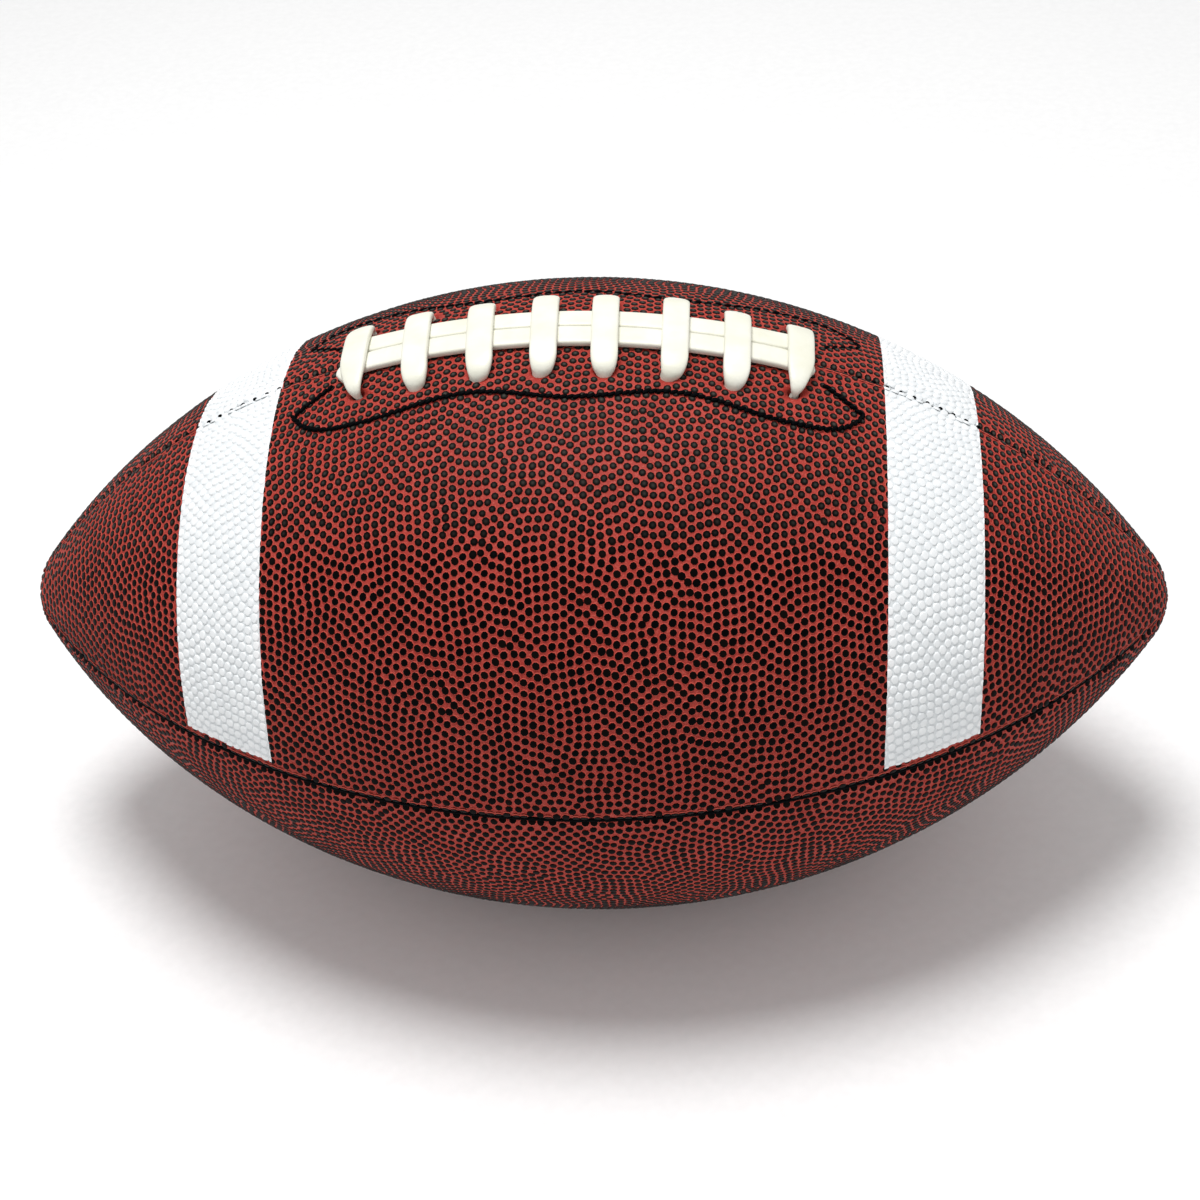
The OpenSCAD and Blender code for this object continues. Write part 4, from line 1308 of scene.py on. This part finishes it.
shape = bmesh.new()
loops, travelled, spots = [], 0, []
for i, (centre, width_way, width, thickness, squareness) in enumerate(stations):
    before, after = stations[max(i - 1, 0)][0], stations[min(i + 1, len(stations) - 1)][0]
    tangent = (after - before).normalized()
    across = (width_way - tangent * width_way.dot(tangent)).normalized()
    through = tangent.cross(across)
    travelled += (centre - before).length
    loop = []
    for c, s in circle(lace_sides, 0.5):
        loop.append(shape.verts.new(
            centre + across * (width / 2 * math.copysign(abs(c) ** squareness, c))
            + through * (thickness / 2 * math.copysign(abs(s) ** squareness, s))))
        spots.append((travelled, c, s))
    loops.append(loop)
close_loops(shape, loops)
bmesh.ops.recalc_face_normals(shape, faces=shape.faces)
lace = finished("vinyl_lace", shape)
strap = lace.data.attributes.new("strap", "FLOAT_VECTOR", "POINT")
strap.data.foreach_set("vector", np.array(spots, np.float32).ravel())

# Cream vinyl: a warm white with a low gloss, faint soiling, a fine grain pressed in its face, and
# shallow creases that run along and across the strap
vinyl, tree, place = start_material("cream vinyl")
soil = add(tree, "ShaderNodeTexNoise", {"Vector": place, "Scale": 1 / (7 * MM), "Detail": 5})
tint = add(tree, "ShaderNodeValToRGB", {"Fac": soil}, [(0.3, "#e4e3d2"), (0.7, "#efeee3")])
pores = add(tree, "ShaderNodeTexVoronoi", {"Vector": place, "Scale": 1 / (0.45 * MM)})
grain = add(tree, "ShaderNodeBump", {"Height": pores, "Distance": 0.05 * MM, "Strength": 0.35})
strap_place = add(tree, "ShaderNodeAttribute", attribute_name="strap").outputs["Vector"]
strap_place = add(tree, "ShaderNodeMapping", {"Vector": strap_place, "Scale": (1.1, 0.6, 0.3)})
creases = add(tree, "ShaderNodeTexNoise", {"Vector": strap_place, "Scale": 1.0, "Detail": 3})
relief = add(tree, "ShaderNodeBump", {"Height": creases, "Distance": 0.25 * MM, "Strength": 0.35,
                                      "Normal": grain})
finish(tree, {"Base Color": tint, "Normal": relief, "Roughness": 0.42, "IOR": 1.5})
lace.data.materials.append(vinyl)
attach(lace, "root")
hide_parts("lace")

# Floor, light and camera
# The ball lies on a plain pale floor under broad soft lights, seen from the photograph's place.

paper, tree, place = start_material("plain paper")
fibres = add(tree, "ShaderNodeTexNoise", {"Vector": place, "Scale": 1 / (3 * MM), "Detail": 3})
tint = add(tree, "ShaderNodeValToRGB", {"Fac": fibres}, [(0.3, "#fbfbfb"), (0.7, "#ffffff")])
finish(tree, {"Base Color": tint, "Roughness": 0.95})
floor_reach, floor_level = 6, -0.5 * MM
floor_mesh = bpy.data.meshes.new("floor")
floor_mesh.from_pydata([(x * floor_reach, y * floor_reach, floor_level)
                        for x, y in ((-1, -1), (1, -1), (1, 1), (-1, 1))], [], [(0, 1, 2, 3)])
floor_mesh.materials.append(paper)
linked("floor", floor_mesh)

scene = bpy.context.scene
scene.view_settings.view_transform = "Standard"
world = bpy.data.worlds.new("studio")
world.use_nodes = True
sky = world.node_tree.nodes["Background"].inputs
sky["Color"].default_value = linear("#ffffff")
sky["Strength"].default_value = 0.5
scene.world = world
for name, spot, size, power in (("top light", Vector((-0.08, 0.0, 1.05)), 0.4, 8.5),
                                ("front light", Vector((0.1, -1.1, 0.75)), 1.0, 0.8)):
    lamp = bpy.data.lights.new(name, "AREA")
    lamp.shape = "DISK"
    lamp.size = size
    lamp.energy = power
    light = linked(name, lamp)
    light.location = spot + raised
    light.rotation_euler = (-spot).to_track_quat("-Z", "Y").to_euler()

# The camera's place was worked out from the ball's outline, its stripes and the lace holes
frame_width = 1200
distance, elevation, azimuth, tilt = 0.5347, math.radians(40.57), math.radians(6.2), -3.772
focal_pixels, centre_x, centre_y = 2192.4, 593.4, 593.0
back = Vector((math.sin(azimuth) * math.cos(elevation), -math.cos(azimuth) * math.cos(elevation),
               math.sin(elevation)))
view = bpy.data.cameras.new("camera")
view.sensor_width = 36
view.lens = focal_pixels / frame_width * view.sensor_width
view.shift_x = -(centre_x - frame_width / 2) / frame_width
view.shift_y = (centre_y - frame_width / 2) / frame_width
camera = linked("camera", view)
camera.location = back * distance + raised
camera.rotation_euler = ((-back).to_track_quat("-Z", "Y").to_matrix()
                         @ Matrix.Rotation(math.radians(tilt), 3, "Z")).to_euler()
scene.camera = camera
